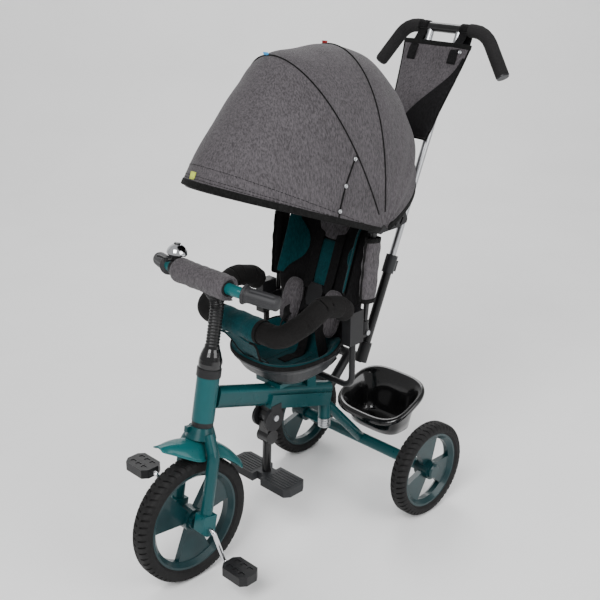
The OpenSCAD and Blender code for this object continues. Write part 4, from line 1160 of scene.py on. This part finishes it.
def bar_roll():
    """The cloth roll on the handlebar with foam showing at its ends, and the bell's button."""
    low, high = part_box("bar_pad")
    centre = (low + high) / 2
    half = (high.x - low.x) / 2
    radius = 0.0255
    ahead, up = STEER_LEAN.cross(X_AXIS), STEER_LEAN
    shape = [(-half + 0.004, 0.62), (-half + 0.0012, 0.70), (-half, 0.82), (-half + 0.0016, 0.95)]
    shape += [(-half + 0.006 + (2 * half - 0.012) * i / 40, 1 + 0.012 * math.sin(i * 1.1))
              for i in range(41)]
    shape += [(-x, r) for x, r in reversed(shape[:4])]
    rings = [[centre + X_AXIS * x + (ahead * math.cos(a) + up * math.sin(a)) * radius * r
              for a in circle(56)] for x, r in shape]
    made = loft("bar_roll", rings, "grey_cloth", capped=False)
    wrinkled(made, 0.02, 0.0013, 2)
    finish_piece(made, "fork", "grey_fabric", "bar_pad")
    for name, side in (("left", 1), ("right", -1)):
        rings = [[centre + X_AXIS * side * x + (ahead * math.cos(a) + up * math.sin(a)) * r
                  for a in circle(40)]
                 for x, r in ((half - 0.012, 0.0172), (half - 0.003, 0.0172), (half - 0.0018, 0.015),
                              (half - 0.0025, 0.0118), (half - 0.012, 0.0116))]
        finish_piece(loft(f"bar_roll_foam_{name}", rings, "foam", capped=False), "fork", "foam")
    under = (ahead * 0.35 - up * 0.93).normalized() * 0.0258
    seam = [centre + X_AXIS * (half * 0.97 * (-1 + i / 20)) + under for i in range(41)]
    finish_piece(ribbon("bar_roll_seam", seam, ahead, 0.006, 0.0012, "binding"), "fork", "black_fabric")
    bell_low, bell_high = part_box("bell_dome")
    top = (bell_low + bell_high) / 2 + up * ((bell_high.z - bell_low.z) / 2 - 0.0016)
    rings = [[top + up * h + (X_AXIS * math.cos(a) + ahead * math.sin(a)) * r
              for a in circle(24)]
             for h, r in ((-0.001, 0.0075), (0.0018, 0.0075), (0.003, 0.006), (0.0034, 0.002))]
    finish_piece(loft("bell_button", rings, "gloss_black"), "fork", "black_plastic")


def handle_grips():
    """Moulded handlebar grips: a flange at the inner end, long slots and a round end."""
    for name, side in (("left", 1), ("right", -1)):
        end = steered(side * 182, -13, 526.2)
        along = (end - steered(side * 100, -47, 531.2)).normalized()
        length = 0.078
        foot = end - along * 0.074
        other = along.cross(Z_AXIS).normalized()
        up = other.cross(along)
        rings = []
        for i in range(61):
            s = i / 60
            radius = 0.0150 + 0.0009 * math.sin(math.pi * s)
            radius += 0.0052 * (1 - fade(s, 0.045, 0.062))
            radius += 0.0016 * fade(s, 0.07, 0.075) * (1 - fade(s, 0.11, 0.12))
            radius *= min(1.0, math.sqrt(max(0.0004, 1 - max(0.0, (s - 0.90) / 0.1) ** 2)))
            slot = 0.0014 * fade(s, 0.17, 0.20) * (1 - fade(s, 0.84, 0.87))
            ring = []
            for j in range(72):
                a = 2 * math.pi * j / 72
                cut = slot * fade(math.cos(6 * a), 0.4, 0.75)
                out = other * math.cos(a) + up * math.sin(a)
                ring.append(foot + along * length * s + out * (radius - cut))
            rings.append(ring)
        made = loft(name + "_handle_grip", rings, "grip_rubber")
        finish_piece(made, "fork", "grey_rubber", *(["handlebar_grips"] if side > 0 else []))


# ------------------------------------------------------------------ basket and bag
BASKET_MIDDLE, BASKET_FLOOR, BASKET_TILT = 70, 130, 22
BASKET_HALF_WIDTH, BASKET_HALF_LENGTH = 107, 80


def basket_ring(inset, height, share, count=120):
    """A ring of the basket: share is how much of the rim's tilt it has."""
    ring = round_ring(spot(0, BASKET_MIDDLE, BASKET_FLOOR + height), (BASKET_HALF_WIDTH - inset) / 1000,
                      (BASKET_HALF_LENGTH - inset) / 1000, X_AXIS, Y_AXIS, 3.2, count)
    tilt = share * math.tan(math.radians(BASKET_TILT))
    return [p + Vector((0, 0, tilt * (p.y - AXLE.y - BASKET_MIDDLE / 1000))) for p in ring]


def rear_basket():
    """The moulded basket with a wide rolled rim."""
    shape = ((41, 0.2, 0), (36, 1, 0), (32.5, 4, 0), (28, 26, 0.35), (22, 50, 0.7), (18, 66, 0.9),
             (15.5, 71.5, 0.97), (9, 73, 1), (3, 72.5, 1), (0.6, 75, 1), (0, 80, 1), (1.2, 84.5, 1),
             (5, 86.8, 1), (10, 86.5, 1), (14, 83, 1), (17, 76, 0.97), (21, 69, 0.9), (26, 52, 0.7),
             (32, 28, 0.35), (37, 9, 0), (42, 4.6, 0), (60, 4, 0))
    made = loft("rear_basket", [basket_ring(*values) for values in shape], "gloss_black")
    finish_piece(made, "frame", "gloss_black", "basket")
    return made


BAG_TOP, BAG_LENGTH = 36, 220
PUSH_BAR = (262, 1090)


def bag_middle(s):
    """The middle of the bag's section, s millimetres down the push legs."""
    leg = spot(0, *PUSH_BAR) - LEG_SLOPE * (s / 1000)
    depth = bag_depth(s)
    return leg + Vector((0, -0.0098 - depth * 1.02, 0))


def bag_depth(s):
    """Half the bag's depth: flat at the top, sagging full low down."""
    t = (s - BAG_TOP) / BAG_LENGTH
    return (0.0062 + 0.0085 * fade(t, 0.1, 0.75)) * (1 - 0.35 * fade(t, 0.9, 1.0))


def bag_half(s):
    """Half the bag's width, s millimetres down the push legs."""
    t = (s - BAG_TOP) / BAG_LENGTH
    return 0.0945 - 0.0385 * t - 0.005 * fade(t, 0.88, 1.0)


def bag_spot(u, v, s):
    """A point of the bag's skin: u across from -1 to 1 on its front for v -1, its back for 1."""
    out = X_AXIS.cross(LEG_SLOPE).normalized()
    bulge = (1 - abs(u) ** 4) ** 0.5
    if out.y < 0:
        out = -out
    return bag_middle(s) + X_AXIS * bag_half(s) * u + out * (bag_depth(s) * v * bulge)


def parent_bag():
    """The pouch on the push legs: sagging shell, dark side panel, bindings, straps and snap."""
    rings = []
    drops = [BAG_TOP + BAG_LENGTH * i / 36 for i in range(37)]
    across = [math.sin(math.pi / 2 * (-1 + i / 16)) for i in range(33)]
    for s in drops:
        front = [bag_spot(u, -1, s) for u in across]
        back = [bag_spot(u, 1, s) for u in reversed(across[1:-1])]
        rings.append(front + back)
    made = loft("bag_body", rings, "grey_cloth")
    wrinkled(made, 0.05, 0.0022, 12)
    finish_piece(made, "push_handle", "grey_fabric", "parent_bag")
    details = []
    top = [p.copy() for p in rings[0]] + [rings[0][0].copy()]
    details.append(ribbon("bag_top_binding", top, LEG_SLOPE, 0.0055, 0.0016, "binding"))
    for name, u in (("left", 0.995), ("right", -0.995)):
        line = [bag_spot(u, -1, s) for s in drops]
        details.append(cord(f"bag_{name}_edge", line, 0.0024, "binding", 8))
    foot = [bag_spot(u, -1, drops[-1]) for u in across]
    details.append(cord("bag_foot_edge", foot, 0.0024, "binding", 8))
    details.append(bag_panel())
    for x in (-58, 58):
        details.append(bag_strap(x))
    snap_at = bag_spot(0.80, -1, 50)
    faces = Vector((0, -0.92, 0.39)).normalized()
    details.append(snap("bag_snap", snap_at + Vector((0, -0.0012, 0.0004)), faces))
    slit = [bag_spot(-0.72 + 0.02 * i, -1, 50 + 0.4 * i) + Vector((0, -0.0012, 0)) for i in range(12)]
    details.append(cord("bag_slit", slit, 0.0011, "binding", 6))
    for one in details:
        finish_piece(one, "push_handle", "black_fabric" if one.name != "bag_snap" else "steel")
    return made


def bag_panel():
    """The dark panel sewn over the bag's lower left corner, bounded by a curve."""
    rows = []
    for i in range(33):
        s = 62 + (252 - 62) * i / 32
        start = 0.93 - 1.35 * fade(i / 32, 0.0, 1.0) ** 1.25
        rows.append([bag_spot(start + (0.985 - start) * j / 24, -1, s) + Vector((0, -0.0016, 0.0004))
                     for j in range(25)])
    made = loft("bag_side_panel", rows, "black_cloth", round_rings=False)
    wrinkled(made, 0.05, 0.0010, 12)
    return modify(made, "SOLIDIFY", thickness=0.0016, offset=0)


def bag_strap(x):
    """Webbing sewn to the bag's front, over the crossbar and down behind it."""
    centre = spot(x, *PUSH_BAR)
    radius = 0.0128
    low = bag_spot(x / 1000 / bag_half(78), -1, 78) + Vector((0, -0.0016, 0))
    over = [centre + Vector((0, -math.cos(a), math.sin(a))) * radius
            for a in (math.radians(d) for d in (-35, 0, 40, 80, 120, 160, 190))]
    down = [over[-1] + Vector((0, -0.0045, -0.016)), over[-1] + Vector((0, -0.012, -0.034))]
    high = bag_spot(x / 1000 / bag_half(50), -1, 50) + Vector((0, -0.0018, 0))
    path = curve_through([low, high] + over + down, 5)
    name = "bag_strap_left" if x > 0 else "bag_strap_right"
    return ribbon(name, path, X_AXIS, 0.0115, 0.0011, "webbing")


# ------------------------------------------------------------------ stage
def floor_finish():
    made = Finish("pale_floor", (0.90, 0.90, 0.90), 0.6)
    made.paint(made.speckle(3, 5), [(0.3, (0.89, 0.89, 0.89)), (0.7, (0.92, 0.92, 0.92))])
    made.bump(made.speckle(160, 3), 0.0004, 0.2)
    return made.material


def softbox(name, place, aim, size, power):
    light = bpy.data.lights.new(name, "AREA")
    light.shape = "RECTANGLE"
    light.size, light.size_y = size
    light.energy = power
    made = bpy.data.objects.new(name, light)
    made.location = place
    made.rotation_euler = (aim - place).to_track_quat("-Z", "Y").to_euler()
    bpy.context.scene.collection.objects.link(made)
    return made


def backdrop():
    """A pale floor that curves up far behind the tricycle."""
    rows = []
    away = Vector((-0.704, 0.710, 0))
    aside = Vector((0.710, 0.704, 0))
    for reach, height in ((-6, 0), (2.6, 0), (3.0, 0.05), (3.3, 0.2), (3.5, 0.5), (3.55, 5)):
        rows.append([away * reach + aside * w + Vector((0, 0, height - 0.0003)) for w in (-9, -3, 3, 9)])
    made = loft("floor", rows, "gloss_black", round_rings=False)
    made.data.materials.clear()
    made.data.materials.append(floor_finish())
    return made


CAMERA_PLACE = (1464, -1692, 1388)
CAMERA_YAW, CAMERA_PITCH = 44.8, 22.0
LENS_LENGTH, FILM_WIDTH = 61.0, 36
KEY_POWER, FILL_POWER, BACK_POWER = 185, 70, 70
SKY_STRENGTH = 0.50


def camera():
    """The camera in front of the tricycle, to its left, looking down on it."""
    view = bpy.data.cameras.new("camera")
    view.lens = LENS_LENGTH
    view.sensor_width = FILM_WIDTH
    view.clip_end = 60
    made = bpy.data.objects.new("camera", view)
    made.location = spot(*CAMERA_PLACE)
    made.rotation_euler = (math.pi / 2 - math.radians(CAMERA_PITCH), 0, math.radians(CAMERA_YAW))
    bpy.context.scene.collection.objects.link(made)
    bpy.context.scene.camera = made
    return made


# ------------------------------------------------------------------ operators
class TRICYCLE_OT_finishes(bpy.types.Operator):
    """Give every hard piece its finish"""
    bl_idname = "tricycle.finishes"
    bl_label = "Finishes"

    def execute(self, context):
        dress_frame()
        return {"FINISHED"}


class TRICYCLE_OT_wheels(bpy.types.Operator):
    """Make the treaded tyres and the mudguard"""
    bl_idname = "tricycle.wheels"
    bl_label = "Tyres and mudguard"

    def execute(self, context):
        blocks = sizes().tread_blocks
        tyre("front_tyre", "front_wheel", blocks)
        tyre("left_rear_tyre", "left_wheel", blocks - 8)
        tyre("right_rear_tyre", "right_wheel", blocks - 8)
        mudguard()
        return {"FINISHED"}


class TRICYCLE_OT_canopy(bpy.types.Operator):
    """Make the canopy's cloth, bindings, seams, snaps and tags"""
    bl_idname = "tricycle.canopy"
    bl_label = "Canopy"

    def execute(self, context):
        cloth, flat, area = canopy_sheet()
        trims = canopy_lines()
        return {"FINISHED"}


class TRICYCLE_OT_seat(bpy.types.Operator):
    """Make the seat liner, backrest, bolsters and harness"""
    bl_idname = "tricycle.seat"
    bl_label = "Seat"

    def execute(self, context):
        seat_liner()
        backrest_pad()
        bolsters()
        harness_straps()
        return {"FINISHED"}


class TRICYCLE_OT_wraps(bpy.types.Operator):
    """Make the post wraps, safety bar foam and wrap, and the handlebar's roll and grips"""
    bl_idname = "tricycle.wraps"
    bl_label = "Wraps"

    def execute(self, context):
        post_wraps()
        safety_foam()
        safety_wrap()
        bar_roll()
        handle_grips()
        return {"FINISHED"}


class TRICYCLE_OT_luggage(bpy.types.Operator):
    """Make the rear basket and the parent's bag"""
    bl_idname = "tricycle.luggage"
    bl_label = "Basket and bag"

    def execute(self, context):
        rear_basket()
        parent_bag()
        return {"FINISHED"}


class TRICYCLE_OT_stage(bpy.types.Operator):
    """Set the floor, lights and camera"""
    bl_idname = "tricycle.stage"
    bl_label = "Stage"

    def execute(self, context):
        aim = Vector((0, 0, 0.5))
        key = softbox("key_light", Vector((1.2, -3.0, 3.4)), aim, (2.2, 2.2), KEY_POWER)
        fill = softbox("fill_light", Vector((3.4, 0.6, 2.0)), aim, (2.4, 2.0), FILL_POWER)
        back = softbox("back_light", Vector((-2.2, 2.2, 3.2)), aim, (2.0, 2.0), BACK_POWER)
        backdrop()
        camera()
        world = bpy.data.worlds.new("studio")
        bpy.context.scene.world = world
        world.use_nodes = True
        world.node_tree.nodes["Background"].inputs["Color"].default_value = (1.0, 1.0, 1.0, 1)
        world.node_tree.nodes["Background"].inputs["Strength"].default_value = SKY_STRENGTH
        return {"FINISHED"}


OPERATORS = (TRICYCLE_OT_finishes, TRICYCLE_OT_wheels, TRICYCLE_OT_canopy, TRICYCLE_OT_seat,
             TRICYCLE_OT_wraps, TRICYCLE_OT_luggage, TRICYCLE_OT_stage)


class TRICYCLE_PT_panel(bpy.types.Panel):
    """The tricycle's steps and settings in the sidebar"""
    bl_label = "Tricycle"
    bl_idname = "TRICYCLE_PT_panel"
    bl_space_type = "VIEW_3D"
    bl_region_type = "UI"
    bl_category = "Tricycle"

    def draw(self, context):
        for settings in (context.scene.tricycle_finish, context.scene.tricycle_sizes):
            for name in settings.bl_rna.properties.keys():
                if name not in ("rna_type", "name"):
                    self.layout.prop(settings, name)
        for operator in OPERATORS:
            self.layout.operator(operator.bl_idname)


CLASSES = (FinishSettings, SizeSettings, *OPERATORS, TRICYCLE_PT_panel)


def register():
    for cls in CLASSES:
        bpy.utils.register_class(cls)
    bpy.types.Scene.tricycle_finish = bpy.props.PointerProperty(type=FinishSettings)
    bpy.types.Scene.tricycle_sizes = bpy.props.PointerProperty(type=SizeSettings)


def unregister():
    del bpy.types.Scene.tricycle_finish
    del bpy.types.Scene.tricycle_sizes
    for cls in reversed(CLASSES):
        bpy.utils.unregister_class(cls)


def main():
    register()
    bpy.ops.tricycle.finishes()
    bpy.ops.tricycle.wheels()
    bpy.ops.tricycle.canopy()
    bpy.ops.tricycle.seat()
    bpy.ops.tricycle.wraps()
    bpy.ops.tricycle.luggage()
    bpy.ops.tricycle.stage()


if __name__ == "__main__":
    main()
